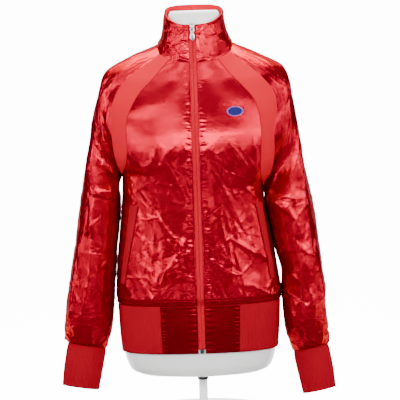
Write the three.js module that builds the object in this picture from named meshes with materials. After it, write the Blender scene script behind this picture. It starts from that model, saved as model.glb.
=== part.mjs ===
// A shiny raglan track jacket with matte knit trim, zipped up on a limbless dress form.
// Millimetres, +Z up. The front faces -Y and the wearer's left is +X.
// The origin is the centre of the stand's underside, on the floor.
import * as THREE from "three";
import { mergeVertices } from "three/addons/utils/BufferGeometryUtils.js";

// Cloth and seams
const SATIN = 2;
const KNIT = 2.4;
const TAPE = 1.4;
const SEAM_GAP = 0.3;
const SECTION_POWER = 2.4;

// Heights above the floor
const HEM_BOTTOM = 145;
const HEM_TOP = 244;
const BODY_BOTTOM = 244.4;
const NECK_FRONT = 742;
const NECK_BACK = 793;
const COLLAR_LIFT = 2.5;
const ZIP_TOP = 817;
const ZIP_BOTTOM = 153.4;

// Zip widths, from the centre line
const TAPE_INNER = 0.5;
const TAPE_OUTER = 7.1;
const FRONT_EDGE = 7.5;
const TAB_RIGHT = 82;
const TAB_LEFT = 78.5;

// Slider and its pull
const PLATE = 1.8;
const PLATE_CLEAR = 0.4;
const SLIDER_WIDTH = 8.4;
const SLIDER_LENGTH = 9;
const SLIDER_TOP = 3.6;
const ARCH_WIDTH = 2;
const ARCH_RISE = 4.6;
const HINGE_OUT = PLATE_CLEAR + PLATE + 1.45;
const HINGE_DOWN = 4.6;
const PULL_THICKNESS = 1.5;
const PULL_LENGTH = 27;

// Stand
const FORM_BOTTOM = 88;
const FITTING_HEIGHT = 11;
const FITTING_RADIUS = 11.5;
const POLE_RADIUS = 9;
const BASE_RADIUS = 150;
const BASE_HEIGHT = 10;

// Sleeves: girth and length of the cloth, and how far down it the underarm lies
const SLEEVE_GIRTH = 250;
const SLEEVE_LENGTH = 760;
const SHOULDER_SHARE = 0.33;
const AROUND_ARM = 16;
const TUBE_ROWS = 16;
const CUFF_ROWS = 3;
const CUFF_MIDDLE = -10;

// Where the raglan seams meet the neck seam, which runs from 0 at the zip to 1 at the back
const NECK_AT_FRONT_SEAM = 5 / 12;
const NECK_AT_SHOULDER = 0.5;
const NECK_AT_BACK_SEAM = 0.75;

const RIGHT = -1;
const LEFT = 1;
const SIDE_NAME = { [RIGHT]: "right", [LEFT]: "left" };

// The slanted pocket mouths
const WELT = {
  [RIGHT]: { top_x: 128, top_z: 452, bottom_x: 157, bottom_z: 290, width: 17 },
  [LEFT]: { top_x: 124, top_z: 450, bottom_x: 148, bottom_z: 292, width: 14 },
};

function columns(names, rows) {
  return rows.map((row) => Object.fromEntries(names.map((name, i) => [name, row[i]])));
}

// Girths of the zipped body. right and left are half widths, front and back are depths from the
// side seam, and seam is how far the side seam and the shoulder line lie behind the middle.
const BODY = columns(
  ["height", "right", "left", "front", "back", "seam"],
  [
    [145, 166, 158.6, 94, 92, 0],
    [200, 169.5, 163, 98, 96, 0],
    [244, 171.5, 165.7, 100, 98, 0],
    [260, 175, 169, 110, 104, 0],
    [280, 174.5, 167, 113, 104, 0],
    [311, 172.5, 162.5, 111, 101, 0],
    [350, 169, 157, 107, 96, 0],
    [400, 163, 148, 104, 90, 0],
    [440, 158.5, 141, 105, 88, 0],
    [480, 155, 137, 109, 90, 0],
    [512, 154, 160, 114, 92, 0],
    [535, 174, 176, 117, 94, 0],
    [560, 190, 190, 118, 95, 0],
    [590, 203, 202, 116, 97, 0],
    [625, 211, 208, 110, 99, 1],
    [655, 207, 205, 103, 99, 2],
    [680, 199, 201, 95, 98, 3],
    [705, 192, 196, 86, 96, 4],
    [722, 188, 192, 76, 93, 5],
    [739, 167, 171, 66, 89, 6],
    [756, 131, 137.6, 54, 83, 7],
    [772, 93, 99, 40, 77, 8],
    [779, 74, 83, 32, 72, 8],
    [788, 66, 76, 22, 63, 8],
    [793, 60, 70, 15, 56, 8],
  ],
);

// The seams of the knit insert, from the neck down to the underarm: its edge on the front panel
// and its edge on the sleeve, each as a distance from the middle and a height. shoulder is the
// sleeve's outer line, and back is the raglan seam of the back panel.
const ARMHOLE_COLUMNS = [
  "front_x", "front_z", "sleeve_x", "sleeve_z", "shoulder_x", "shoulder_z", "back_x", "back_z",
];
const ARMHOLE = {
  [RIGHT]: columns(ARMHOLE_COLUMNS, [
    [48, 748, 68, 759, 74, 779, 57, 788],
    [61.5, 734, 84, 748, 99, 769.5, 78, 775],
    [85, 708, 112, 729, 131, 756.5, 100, 752],
    [106.7, 687, 143, 704, 163, 741.5, 116, 726],
    [123.7, 663, 160, 678, 184.5, 726, 131, 697],
    [136.7, 635, 169, 652, 192, 703, 142, 667],
    [141, 612, 171.4, 628, 200, 676, 150, 640],
    [140, 586, 170, 598, 208, 648, 155, 612],
    [140.5, 560, 168, 570, 214, 617, 158, 585],
    [144, 538, 164, 546, 220, 587, 160, 558],
    [149.5, 523, 159, 527, 226, 558, 159, 533],
    [154, 512, 154, 512, 231, 532, 154, 512],
  ]),
  [LEFT]: columns(ARMHOLE_COLUMNS, [
    [50.6, 747, 76, 761, 83, 779, 69, 788],
    [62, 731, 93, 746, 106, 769, 88, 774],
    [82, 708, 122, 722, 138, 756, 110, 750],
    [104, 685, 150, 695, 170, 739.5, 126, 722],
    [121.4, 663, 164, 671, 188.5, 725.5, 138, 693],
    [130, 638, 167, 646, 196, 703, 146, 663],
    [134, 610, 164, 619, 201.5, 676, 151, 635],
    [134, 580, 160, 590, 205.5, 648, 153, 606],
    [132, 552, 160, 560, 210, 614, 153, 575],
    [131, 524, 157, 529, 216, 580, 150, 543],
    [133, 499, 149, 503, 221.5, 545, 145, 512],
    [137, 480, 137, 480, 227, 507, 137, 480],
  ]),
};

// Each sleeve below the underarm: its line along the body, its outer line, and its half depth.
const SLEEVE_COLUMNS = ["inner_x", "inner_z", "outer_x", "outer_z", "depth", "middle"];
const SLEEVE = {
  [RIGHT]: columns(SLEEVE_COLUMNS, [
    [154, 512, 231, 532, 72, 2],
    [161.5, 492, 236, 505, 70, 2],
    [164, 460, 241.5, 472, 67, 1],
    [166.5, 405, 250.5, 415, 62, -2],
    [172, 352, 260, 360, 58, -5],
    [176, 305, 268.5, 315, 55, -7],
    [178.5, 255, 276, 265, 53, -8],
    [181, 216, 281.5, 228, 51, -9],
    [186, 193, 284.5, 204, 46, -9],
    [193, 172, 284, 184, 36, -10],
    [200, 152.6, 280, 166.6, 19, -10],
  ]),
  [LEFT]: columns(SLEEVE_COLUMNS, [
    [137, 480, 227, 507, 72, 2],
    [142.5, 458, 233, 478, 70, 2],
    [146, 432, 238, 452, 67, 1],
    [153.5, 390, 245, 405, 62, -2],
    [162.5, 345, 251, 358, 58, -5],
    [169.5, 305, 256, 315, 55, -7],
    [172, 255, 260, 262, 53, -8],
    [173, 205, 262.5, 212, 51, -9],
    [176, 176, 264, 188, 46, -9],
    [182.5, 152, 265, 167, 36, -10],
    [191, 133.6, 264, 147.6, 19, -10],
  ]),
};

// Each knit cuff, from its seam on the sleeve down to its open end.
const CUFF_COLUMNS = ["inner_x", "inner_z", "outer_x", "outer_z", "depth"];
const CUFF = {
  [RIGHT]: columns(CUFF_COLUMNS, [
    [200, 152, 280, 166, 19],
    [203.5, 133, 284, 146, 20],
    [211, 97, 290.5, 110, 19],
    [218, 63.5, 295, 76, 17],
  ]),
  [LEFT]: columns(CUFF_COLUMNS, [
    [191, 133, 264, 147, 19],
    [193.5, 114, 268, 127, 20],
    [201, 77, 274, 90, 19],
    [208, 42, 278, 55, 17],
  ]),
};

// The neck seam, from the zip round to the middle of the back. x grows from the zip to the
// shoulder line and falls again behind it.
const NECK_COLUMNS = ["front_x", "front_z", "back_x", "back_z"];
const NECK = {
  [RIGHT]: columns(NECK_COLUMNS, [
    [0, 742, 0, 793],
    [20, 742.3, 22, 792.6],
    [36, 744.4, 42, 790.8],
    [48, 748, 57, 788],
    [62, 755, 66, 784.5],
    [68, 759, 70, 782.5],
    [74, 779, 74, 779],
  ]),
  [LEFT]: columns(NECK_COLUMNS, [
    [0, 742, 0, 793],
    [20, 741.8, 26, 792.6],
    [36, 743.4, 50, 791],
    [50.6, 747, 69, 788],
    [66, 755, 76, 784.5],
    [76, 761, 80, 782],
    [83, 779, 83, 779],
  ]),
};

// The upper rim of the stand collar, by the share of the way from the zip to the middle back.
const RIM = columns(
  ["share", "right", "left", "depth", "height"],
  [
    [0, 0, 0, -54, 818],
    [0.12, 18, 20, -52, 819],
    [0.25, 37, 42, -42, 824],
    [0.38, 51, 58, -22, 834],
    [0.5, 57, 66, 4, 846],
    [0.64, 52, 60, 34, 855],
    [0.8, 33, 38, 54, 860],
    [1, 0, 0, 60, 861],
  ],
);

// The dress form under the cloth.
const FORM = columns(
  ["height", "right", "left", "front", "back", "seam"],
  [
    [88, 62, 62, 40, 40, 0],
    [91, 104, 100, 60, 58, 0],
    [98, 138, 132, 78, 75, 0],
    [110, 152, 145, 86, 84, 0],
    [144, 162, 154.6, 90.2, 88.2, 0],
    [200, 165.9, 159.4, 94.4, 92.4, 0],
    [243, 168, 162.2, 96.6, 94.4, 0],
    [300, 164, 154, 97, 90, 0],
    [350, 154, 143, 91, 82, 0],
    [400, 146, 134, 88, 76, 0],
    [450, 144, 131, 94, 77, 0],
    [500, 146, 134, 104, 84, 0],
    [550, 149, 144, 110, 89, 0],
    [600, 153, 152, 107, 92, 0],
    [650, 158, 159, 98, 93, 2],
    [690, 163, 165, 86, 92, 3],
    [715, 168, 171, 74, 88, 5],
    [730, 167, 171, 65, 84, 6],
    [738, 157, 163, 60, 82, 6],
    [753, 130, 136.6, 49, 74.5, 7],
    [768, 87, 93, 34, 64, 8],
    [774, 68, 76, 35, 56, 8],
    [778, 60, 69, 37, 52, 7],
    [786, 54, 64, 41, 50, 6],
    [800, 50, 60, 44, 50, 4],
    [822, 48.6, 57.6, 44.6, 48, 4],
    [843, 48, 57, 43, 47, 4],
    [847, 44, 53, 39, 43, 4],
  ],
);

// Large folds standing proud of the fronts: from one end to the other, then width and height.
const FOLD_COLUMNS = ["x1", "z1", "x2", "z2", "width", "height"];
const FRONT_FOLDS = {
  [RIGHT]: columns(FOLD_COLUMNS, [
    [96, 602, 66, 569, 12, 4],
    [66, 569, 53, 528, 10, 4],
    [53, 528, 22, 468, 9, 3.5],
    [122, 470, 119, 397, 10, 4],
    [119, 397, 146, 328, 10, 4],
    [28, 386, 41, 340, 10, 4],
    [41, 340, 66, 316, 10, 4],
    [107, 400, 105, 285, 9, -2.5],
    [128, 600, 143, 530, 9, 5],
  ]),
  [LEFT]: columns(FOLD_COLUMNS, [
    [57, 598, 22, 566, 11, 4],
    [22, 553, 103, 376, 9, 5],
    [65, 583, 122, 491, 9, 4],
    [76, 373, 103, 354, 9, 4],
    [103, 354, 141, 330, 10, 5],
    [141, 330, 152, 306, 9, 4],
    [96, 330, 128, 296, 12, -2.5],
    [120, 600, 124, 520, 9, 5],
    [31, 495, 37, 390, 9, 3],
  ]),
};

// Large folds of the back panel, with x measured from the middle towards the wearer's left.
const BACK_FOLDS = columns(FOLD_COLUMNS, [
  [-120, 590, -40, 470, 13, 4.5],
  [124, 580, 46, 462, 13, 4.5],
  [-60, 430, 30, 330, 13, 4],
  [90, 410, 40, 300, 12, 4],
  [-130, 400, -100, 290, 12, 4],
  [-70, 690, 70, 694, 16, 3],
]);

// Large folds round each sleeve: around runs from 0 at the front seam over the outer line at 0.5
// to 1 at the back seam, and along is the share of the way from the neck to the cuff.
const SLEEVE_FOLD_COLUMNS = ["around1", "along1", "around2", "along2", "width", "height"];
const SLEEVE_FOLDS = {
  [RIGHT]: columns(SLEEVE_FOLD_COLUMNS, [
    [0.08, 0.38, 0.12, 0.48, 11, 4.5],
    [0.28, 0.37, 0.32, 0.52, 11, 4.5],
    [0.32, 0.48, 0.27, 0.66, 11, 5],
    [0.14, 0.5, 0.13, 0.72, 11, -3],
    [0.27, 0.68, 0.33, 0.84, 11, 4.5],
    [0.42, 0.58, 0.4, 0.86, 11, 4.5],
    [0.08, 0.78, 0.16, 0.92, 10, 4.5],
    [0.6, 0.38, 0.62, 0.56, 11, 4.5],
    [0.75, 0.46, 0.7, 0.68, 11, 5],
    [0.62, 0.62, 0.58, 0.84, 11, 4.5],
    [0.78, 0.74, 0.74, 0.92, 10, 4.5],
  ]),
  [LEFT]: columns(SLEEVE_FOLD_COLUMNS, [
    [0.16, 0.38, 0.28, 0.52, 11, 4.5],
    [0.38, 0.42, 0.34, 0.66, 11, 4.5],
    [0.1, 0.48, 0.12, 0.7, 11, -3],
    [0.24, 0.56, 0.22, 0.78, 11, 5],
    [0.42, 0.6, 0.42, 0.86, 11, 4.5],
    [0.34, 0.7, 0.3, 0.88, 10, 4.5],
    [0.12, 0.74, 0.18, 0.9, 10, 4.5],
    [0.62, 0.38, 0.6, 0.6, 11, 4.5],
    [0.74, 0.44, 0.78, 0.66, 11, 5],
    [0.6, 0.66, 0.62, 0.86, 11, 4.5],
    [0.76, 0.74, 0.72, 0.92, 10, 4.5],
  ]),
};

// Gathers where satin is eased on to knit
const GATHER_HEIGHT = 2.4;
const GATHER_REACH = 22;

// Colours, roughness and metalness
const FINISH = {
  satin: [0xb81820, 0.3, 0.25],
  satin_dark: [0x8c0c10, 0.3, 0.25],
  knit: [0xc8232a, 0.9, 0],
  insert: [0xe43a42, 0.9, 0],
  tape: [0xd42c33, 0.8, 0],
  metal: [0xb9bbbd, 0.3, 0.9],
  shell: [0xf1eeea, 0.25, 0],
  black: [0x151515, 0.5, 0],
  stand: [0xe9e9e7, 0.4, 0],
};

const lerp = THREE.MathUtils.lerp;
const smooth = THREE.MathUtils.smoothstep;
const vec = (x, y, z) => new THREE.Vector3(x, y, z);

// One value of a table at a place along its key column: a cubic through the rows that keeps
// between neighbouring rows.
function value(rows, key, at, column) {
  const last = rows.length - 1;
  const i = Math.max(0, Math.min(last - 1, rows.findLastIndex((row) => row[key] <= at)));
  const slope = (k) => (rows[k + 1][column] - rows[k][column]) / (rows[k + 1][key] - rows[k][key]);
  const level = (k) => {
    if (k === 0) return slope(0);
    if (k === last) return slope(last - 1);
    const before = slope(k - 1);
    const after = slope(k);
    return before * after <= 0 ? 0 : (2 * before * after) / (before + after);
  };
  const span = rows[i + 1][key] - rows[i][key];
  const t = THREE.MathUtils.clamp((at - rows[i][key]) / span, 0, 1);
  const t2 = t * t;
  const t3 = t2 * t;
  return (
    rows[i][column] * (2 * t3 - 3 * t2 + 1) +
    rows[i + 1][column] * (3 * t2 - 2 * t3) +
    span * (level(i) * (t3 - 2 * t2 + t) + level(i + 1) * (t3 - t2))
  );
}

// One value of a table whose rows are evenly spaced steps, at a share of the way through it.
function step(rows, share, column) {
  const last = rows.length - 1;
  const place = THREE.MathUtils.clamp(share, 0, 1) * last;
  const i = Math.min(last - 1, Math.floor(place));
  const t = place - i;
  const v = [i - 1, i, i + 1, i + 2].map((k) => rows[Math.max(0, Math.min(last, k))][column]);
  return (
    v[1] +
    0.5 * t * (v[2] - v[0] + t * (2 * v[0] - 5 * v[1] + 4 * v[2] - v[3] +
      t * (3 * (v[1] - v[2]) + v[3] - v[0])))
  );
}

// A point of a girth table. angle is 0 at the right side seam, a quarter turn at the middle
// front, a half turn at the left side seam and three quarters at the middle back.
function girthPoint(rows, angle, height) {
  const c = Math.cos(angle);
  const s = Math.sin(angle);
  const at = (column) => value(rows, "height", height, column);
  const width = c > 0 ? at("right") : at("left");
  const depth = s > 0 ? at("front") : at("back");
  const bend = (v) => Math.sign(v) * Math.abs(v) ** (2 / SECTION_POWER);
  return vec(-width * bend(c), at("seam") - depth * bend(s), height);
}

function girthNormal(rows, angle, height) {
  const low = rows[0].height;
  const high = rows[rows.length - 1].height;
  const up = girthPoint(rows, angle, Math.min(high, height + 2));
  up.sub(girthPoint(rows, angle, Math.max(low, height - 2)));
  const round = girthPoint(rows, angle + 0.02, height).sub(girthPoint(rows, angle - 0.02, height));
  return round.cross(up).normalize();
}

// The angle at which the body is a distance x from the middle, on the front or the back.
function bodyAngle(side, x, height, behind = false) {
  const width = value(BODY, "height", height, SIDE_NAME[side]);
  const quarter = Math.acos(THREE.MathUtils.clamp(x / width, 0, 1) ** (SECTION_POWER / 2));
  const angle = side === RIGHT ? quarter : Math.PI - quarter;
  return behind ? -angle : angle;
}

// A closed wall between an outer and an inner grid of points. Rows below openRows have free
// sides; further rows are rings whose last point is their first one.
function wall(outer, inner, openRows = outer.length) {
  const tall = outer.length;
  const wide = outer[0].length;
  const place = [...outer.flat(), ...inner.flat()].flatMap((p) => p.toArray());
  const out = (i, j) => i * wide + j;
  const into = (i, j) => tall * wide + i * wide + j;
  const faces = [];
  const quad = (a, b, c, d) => faces.push(a, b, c, a, c, d);
  for (let i = 0; i < tall - 1; i++) {
    for (let j = 0; j < wide - 1; j++) {
      quad(out(i, j), out(i, j + 1), out(i + 1, j + 1), out(i + 1, j));
      quad(into(i, j), into(i + 1, j), into(i + 1, j + 1), into(i, j + 1));
    }
    if (i + 1 >= openRows) continue;
    quad(out(i, 0), out(i + 1, 0), into(i + 1, 0), into(i, 0));
    quad(out(i + 1, wide - 1), out(i, wide - 1), into(i, wide - 1), into(i + 1, wide - 1));
  }
  for (let j = 0; j < wide - 1; j++) {
    quad(out(0, j + 1), out(0, j), into(0, j), into(0, j + 1));
    quad(out(tall - 1, j), out(tall - 1, j + 1), into(tall - 1, j + 1), into(tall - 1, j));
  }
  return closed(place, faces);
}

// A geometry from points and faces, turned so that its faces point out.
function closed(place, faces) {
  let volume = 0;
  const corner = (k) => vec(...place.slice(3 * faces[k], 3 * faces[k] + 3));
  for (let k = 0; k < faces.length; k += 3) {
    volume += corner(k).dot(corner(k + 1).cross(corner(k + 2)));
  }
  const index = volume < 0 ? faces.slice().reverse() : faces;
  const geometry = new THREE.BufferGeometry();
  geometry.setAttribute("position", new THREE.Float32BufferAttribute(place, 3));
  geometry.setIndex(index);
  const merged = mergeVertices(geometry, 1e-3);
  merged.computeVertexNormals();
  return merged;
}

function grid(tall, wide, point) {
  return Array.from({ length: tall + 1 }, (_, i) =>
    Array.from({ length: wide + 1 }, (_, j) => point(j / wide, i / tall)),
  );
}

// Directions out of a grid of points, from its neighbours in each row and column. Rings wrap.
function gridNormals(points, openRows, towards) {
  const wide = points[0].length - 1;
  const normals = points.map((row, i) =>
    row.map((_, j) => {
      const ring = i >= openRows;
      const before = j === 0 ? (ring ? wide - 1 : 0) : j - 1;
      const after = j === wide ? (ring ? 1 : wide) : j + 1;
      const across = row[after].clone().sub(row[before]);
      const above = points[Math.min(points.length - 1, i + 1)][j];
      const down = above.clone().sub(points[Math.max(0, i - 1)][j]);
      return across.cross(down).normalize().multiplyScalar(towards);
    }),
  );
  for (const row of normals.slice(openRows)) {
    row[0].add(row[wide]).normalize();
    row[wide].copy(row[0]);
  }
  return normals;
}

function moved(points, normals, distance) {
  return points.map((row, i) => row.map((p, j) => p.clone().addScaledVector(normals[i][j], distance)));
}

// How far the folds lift the cloth at a place, in the same units as the folds' ends.
function foldLift(folds, x, z) {
  let lift = 0;
  for (const fold of folds) {
    const run = new THREE.Vector2(fold.x2 - fold.x1, fold.z2 - fold.z1);
    const here = new THREE.Vector2(x - fold.x1, z - fold.z1);
    const share = THREE.MathUtils.clamp(here.dot(run) / run.lengthSq(), 0, 1);
    const away = here.distanceTo(run.multiplyScalar(share)) / fold.width;
    lift += fold.height * Math.exp(-away * away) * (0.45 + 0.55 * Math.sin(Math.PI * share));
  }
  return lift;
}

const gather = (away) => GATHER_HEIGHT * Math.exp(-((away / GATHER_REACH) ** 2));

// A wall on the body's girths. place(u, v) gives the angle and height, lift moves it outwards.
function bodyWall(tall, wide, thickness, place, lift = () => 0) {
  const { outer, inner } = bodyGrids(tall, wide, thickness, place, lift);
  return wall(outer, inner);
}

function bodyGrids(tall, wide, thickness, place, lift = () => 0) {
  const spot = grid(tall, wide, (u, v) => ({ u, v, ...place(u, v) }));
  const normals = spot.map((row) => row.map((s) => girthNormal(BODY, s.angle, s.height)));
  const outer = spot.map((row, i) =>
    row.map((s, j) => girthPoint(BODY, s.angle, s.height).addScaledVector(normals[i][j], lift(s, i, j))),
  );
  return { outer, inner: moved(outer, normals, -thickness) };
}

// Panels, inserts and sleeves share these rows along the raglan seams, and the side seams have
// the same rows on both panels.
const ARMHOLE_ROWS = 12;
const SIDE_ROWS = 12;

// The angle that lies a distance from another one, along the body at one height.
function shifted(angle, height, distance) {
  const near = girthPoint(BODY, angle - 0.01, height);
  const far = girthPoint(BODY, angle + 0.01, height);
  return angle + (0.02 * distance) / near.distanceTo(far);
}

// A place on one of the armhole's lines, moved towards the middle by half a seam or away from it.
function armholePlace(side, share, line, inward) {
  const rows = ARMHOLE[side];
  const behind = line === "back";
  const height = step(rows, share, line + "_z");
  const angle = bodyAngle(side, step(rows, share, line + "_x"), height, behind);
  const turn = (side === RIGHT) !== behind ? 1 : -1;
  return { height, angle: shifted(angle, height, (turn * inward * SEAM_GAP) / 2) };
}

// A place on a panel's outer edge: up the side seam, then along the raglan seam to the neck.
function panelEdge(side, row, line) {
  if (row > SIDE_ROWS) return armholePlace(side, 1 - (row - SIDE_ROWS) / ARMHOLE_ROWS, line, 1);
  const underarm = ARMHOLE[side].at(-1)[line + "_z"];
  const height = lerp(BODY_BOTTOM, underarm, (row / SIDE_ROWS) ** 1.25);
  const seam = side === RIGHT ? 0 : Math.PI;
  const turn = (side === RIGHT) !== (line === "back") ? 1 : -1;
  return { height, angle: shifted(seam, height, (turn * SEAM_GAP) / 2) };
}

function front(side) {
  const wide = 12;
  const tall = SIDE_ROWS + ARMHOLE_ROWS;
  const place = (u, v) => {
    const edge = panelEdge(side, Math.round(v * tall), "front");
    const zip = lerp(BODY_BOTTOM, NECK_FRONT, v ** 1.15);
    const height = lerp(zip, edge.height, u ** 1.3);
    return { angle: lerp(bodyAngle(side, FRONT_EDGE, height), edge.angle, u), height };
  };
  const lift = ({ angle, height, v }, i, j) => {
    const x = Math.abs(girthPoint(BODY, angle, height).x);
    const free = smooth(j, 0, 2) * smooth(wide - j, 0, 2) * smooth(i, 0, 3) * smooth(1 - v, 0, 0.12);
    const eased = gather(height - HEM_TOP - 12) * smooth(i, 0, 1) * (j % 2) * smooth(wide - j, 0, 2);
    return foldLift(FRONT_FOLDS[side], x, height) * free + eased;
  };
  return bodyWall(tall, wide, SATIN, place, lift);
}

function back() {
  const wide = 16;
  const tall = SIDE_ROWS + ARMHOLE_ROWS;
  const place = (u, v) => {
    const right = panelEdge(RIGHT, Math.round(v * tall), "back");
    const left = panelEdge(LEFT, Math.round(v * tall), "back");
    const middle = lerp(BODY_BOTTOM, NECK_BACK, v ** 1.1);
    const height = lerp(middle, lerp(right.height, left.height, u), Math.abs(2 * u - 1) ** 2.2);
    const end = left.angle > 0 ? left.angle - 2 * Math.PI : left.angle;
    return { angle: lerp(right.angle, end, u), height };
  };
  const lift = ({ angle, height, v }, i, j) => {
    const x = girthPoint(BODY, angle, height).x;
    const free = smooth(j, 0, 2) * smooth(wide - j, 0, 2) * smooth(i, 0, 3) * smooth(1 - v, 0, 0.12);
    const eased = gather(height - HEM_TOP - 12) * smooth(i, 0, 1) * (j % 2);
    return foldLift(BACK_FOLDS, x, height) * free + eased;
  };
  return bodyWall(tall, wide, SATIN, place, lift);
}

// The matte crescent between the front panel and the sleeve, down to its point.
function insert(side) {
  const place = (u, v) => {
    const near = armholePlace(side, v, "front", -1);
    const far = armholePlace(side, v, "sleeve", 1);
    return { angle: lerp(near.angle, far.angle, u), height: lerp(near.height, far.height, u) };
  };
  const { outer, inner } = bodyGrids(ARMHOLE_ROWS, 4, KNIT, place);
  for (const points of [outer, inner]) {
    points[ARMHOLE_ROWS].forEach((point, j) => point.lerp(points[ARMHOLE_ROWS - 1][j], 0.65));
  }
  return wall(outer, inner);
}

// One cross row of a sleeve: a front and a back curve from seam to outer line to seam.
function sleeveRow(start, startOut, outer, outerDepth, end, endOut, count) {
  const depth = vec(0, outerDepth, 0);
  const front = new THREE.CubicBezierCurve3(start, startOut, outer.clone().sub(depth), outer);
  const rear = new THREE.CubicBezierCurve3(outer, outer.clone().add(depth), endOut, end);
  return Array.from({ length: count + 1 }, (_, j) => {
    const u = j / count;
    return u <= 0.5 ? front.getPoint(2 * u) : rear.getPoint(2 * u - 1);
  });
}

// A row over the shoulder, from the front raglan seam to the back one.
function shoulderRow(side, share, count) {
  const rows = ARMHOLE[side];
  const seamPoint = (line) => {
    const clear = -1.8 - 4 * smooth(share, 0.65, 0.9);
    const { angle, height } = armholePlace(side, share, line, clear);
    const point = girthPoint(BODY, angle, height);
    const turn = (side === RIGHT) !== (line === "back") ? -1 : 1;
    const next = girthPoint(BODY, shifted(angle, height, 2 * turn), height);
    return { point, way: next.sub(point).normalize() };
  };
  const near = seamPoint("sleeve");
  const far = seamPoint("back");
  const height = step(rows, share, "shoulder_z");
  const outer = vec(side * step(rows, share, "shoulder_x"), value(BODY, "height", height, "seam"), height);
  const leave = ({ point, way }) => {
    const straight = outer.clone().sub(point);
    const reach = straight.length();
    const turn = smooth(share, 0.35, 1);
    const heading = way.clone().lerp(straight.normalize(), 0.85 * turn).normalize();
    return point.clone().addScaledVector(heading, 0.5 * reach);
  };
  const depth = lerp(0.5, 0.62, smooth(share, 0.3, 1)) * outer.distanceTo(near.point);
  return sleeveRow(near.point, leave(near), outer, depth, far.point, leave(far), count);
}

// A ring of the sleeve's tube below the underarm, or of the cuff.
function tubeRow(side, rows, share, count, sag = 0, middle = null) {
  const at = (column) => step(rows, share, column);
  const y = middle ?? at("middle");
  const inner = vec(side * at("inner_x"), y, at("inner_z"));
  const outer = vec(side * at("outer_x"), y, at("outer_z"));
  const depth = (4 / 3) * at("depth");
  const start = inner.clone().add(vec(0, -depth, -sag));
  const end = inner.clone().add(vec(0, depth, -sag));
  return sleeveRow(inner, start, outer, depth, inner.clone(), end, count);
}

// How far the top row of the shoulder has to move to lie along the neck seam.
function neckShift(side, count) {
  const row = shoulderRow(side, 0, count);
  const shift = row.map((point, j) => {
    const u = j / count;
    const front = lerp(NECK_AT_FRONT_SEAM, NECK_AT_SHOULDER, 2 * u);
    const rear = lerp(NECK_AT_SHOULDER, NECK_AT_BACK_SEAM, 2 * u - 1);
    return neckPoint(side, u <= 0.5 ? front : rear).sub(point);
  });
  const ends = [shift[0].clone(), shift[count].clone()];
  return shift.map((way, j) => way.sub(ends[0].clone().lerp(ends[1], j / count)));
}

function sleeve(side) {
  const count = AROUND_ARM;
  const shoulderRows = ARMHOLE_ROWS;
  const tubeRows = TUBE_ROWS;
  const points = [];
  const shift = neckShift(side, count);
  for (let i = 0; i < shoulderRows; i++) {
    const near = 1 - smooth(i, 0, 0.4 * shoulderRows);
    const row = shoulderRow(side, i / shoulderRows, count);
    points.push(row.map((point, j) => point.addScaledVector(shift[j], near)));
  }
  for (let i = 0; i <= tubeRows; i++) {
    const sag = 30 * (1 - smooth(i, 0, 5));
    points.push(tubeRow(side, SLEEVE[side], (i / tubeRows) ** 0.96, count, sag));
  }
  const seam = points[shoulderRows];
  seam[0].x += side * SEAM_GAP;
  seam[count].x = seam[0].x;
  const normals = gridNormals(points, shoulderRows, -side);
  for (let i = 0; i < shoulderRows; i++) {
    for (const [j, line] of [[0, "sleeve"], [count, "back"]]) {
      const { angle, height } = armholePlace(side, i / shoulderRows, line, -1);
      normals[i][j].lerp(girthNormal(BODY, angle, height), 1 - smooth(i, 6, 11)).normalize();
    }
  }
  const along = (i) => {
    const down = (i - shoulderRows) / tubeRows;
    return down < 0 ? (SHOULDER_SHARE * i) / shoulderRows : lerp(SHOULDER_SHARE, 1, down);
  };
  const folds = SLEEVE_FOLDS[side].map((fold) => ({
    x1: fold.around1 * SLEEVE_GIRTH,
    z1: fold.along1 * SLEEVE_LENGTH,
    x2: fold.around2 * SLEEVE_GIRTH,
    z2: fold.along2 * SLEEVE_LENGTH,
    width: fold.width,
    height: fold.height,
  }));
  const last = points.length - 1;
  const outer = points.map((row, i) =>
    row.map((p, j) => {
      const around = ((j % count) / count) * SLEEVE_GIRTH;
      const free = smooth(i, shoulderRows, shoulderRows + 3) * smooth(last - i, 0, 3);
      const eased = gather((last - 1 - i) * 20) * smooth(last - i, 0, 1) * (j % 2);
      const lift = foldLift(folds, around, along(i) * SLEEVE_LENGTH) * free + eased;
      return p.clone().addScaledVector(normals[i][j], lift);
    }),
  );
  return wall(outer, moved(outer, normals, -SATIN), shoulderRows + 1);
}

function cuff(side) {
  const shares = Array.from({ length: CUFF_ROWS + 1 }, (_, i) => i / CUFF_ROWS);
  const points = shares.map((share) => tubeRow(side, CUFF[side], share, AROUND_ARM, 0, CUFF_MIDDLE));
  const normals = gridNormals(points, 0, -side);
  return wall(points, moved(points, normals, -KNIT), 0);
}

// A stretch of the waistband between two angles.
function hemPiece(from, to, wide, thickness) {
  const place = (u, v) => ({ angle: lerp(from, to, u), height: lerp(HEM_BOTTOM, HEM_TOP, v) });
  return bodyWall(3, wide, thickness, place);
}

function hemAngle(side, x) {
  return bodyAngle(side, x, (HEM_BOTTOM + HEM_TOP) / 2);
}

// A place on the neck seam: share runs from 0 at the zip to 1 at the middle of the back.
function neckPoint(side, share) {
  const rows = NECK[side];
  const behind = share > 0.5;
  const way = behind ? 2 - 2 * share : 2 * share;
  const column = behind ? "back" : "front";
  const x = step(rows, way, column + "_x");
  const height = step(rows, way, column + "_z");
  return girthPoint(BODY, bodyAngle(side, x, height, behind), height);
}

function rimPoint(side, share) {
  const at = (column) => value(RIM, "share", share, column);
  return vec(side * at(SIDE_NAME[side]), at("depth"), at("height"));
}

// How far the collar curves in towards the neck between its seam and its rim.
function collarHollow(point, share, rise) {
  const depth = lerp(0.01, 0.06, smooth(share, 0, 0.4)) * Math.sin(Math.PI * rise);
  return vec(0, 8, 0).sub(point).multiplyScalar(depth).setZ(0);
}

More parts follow.
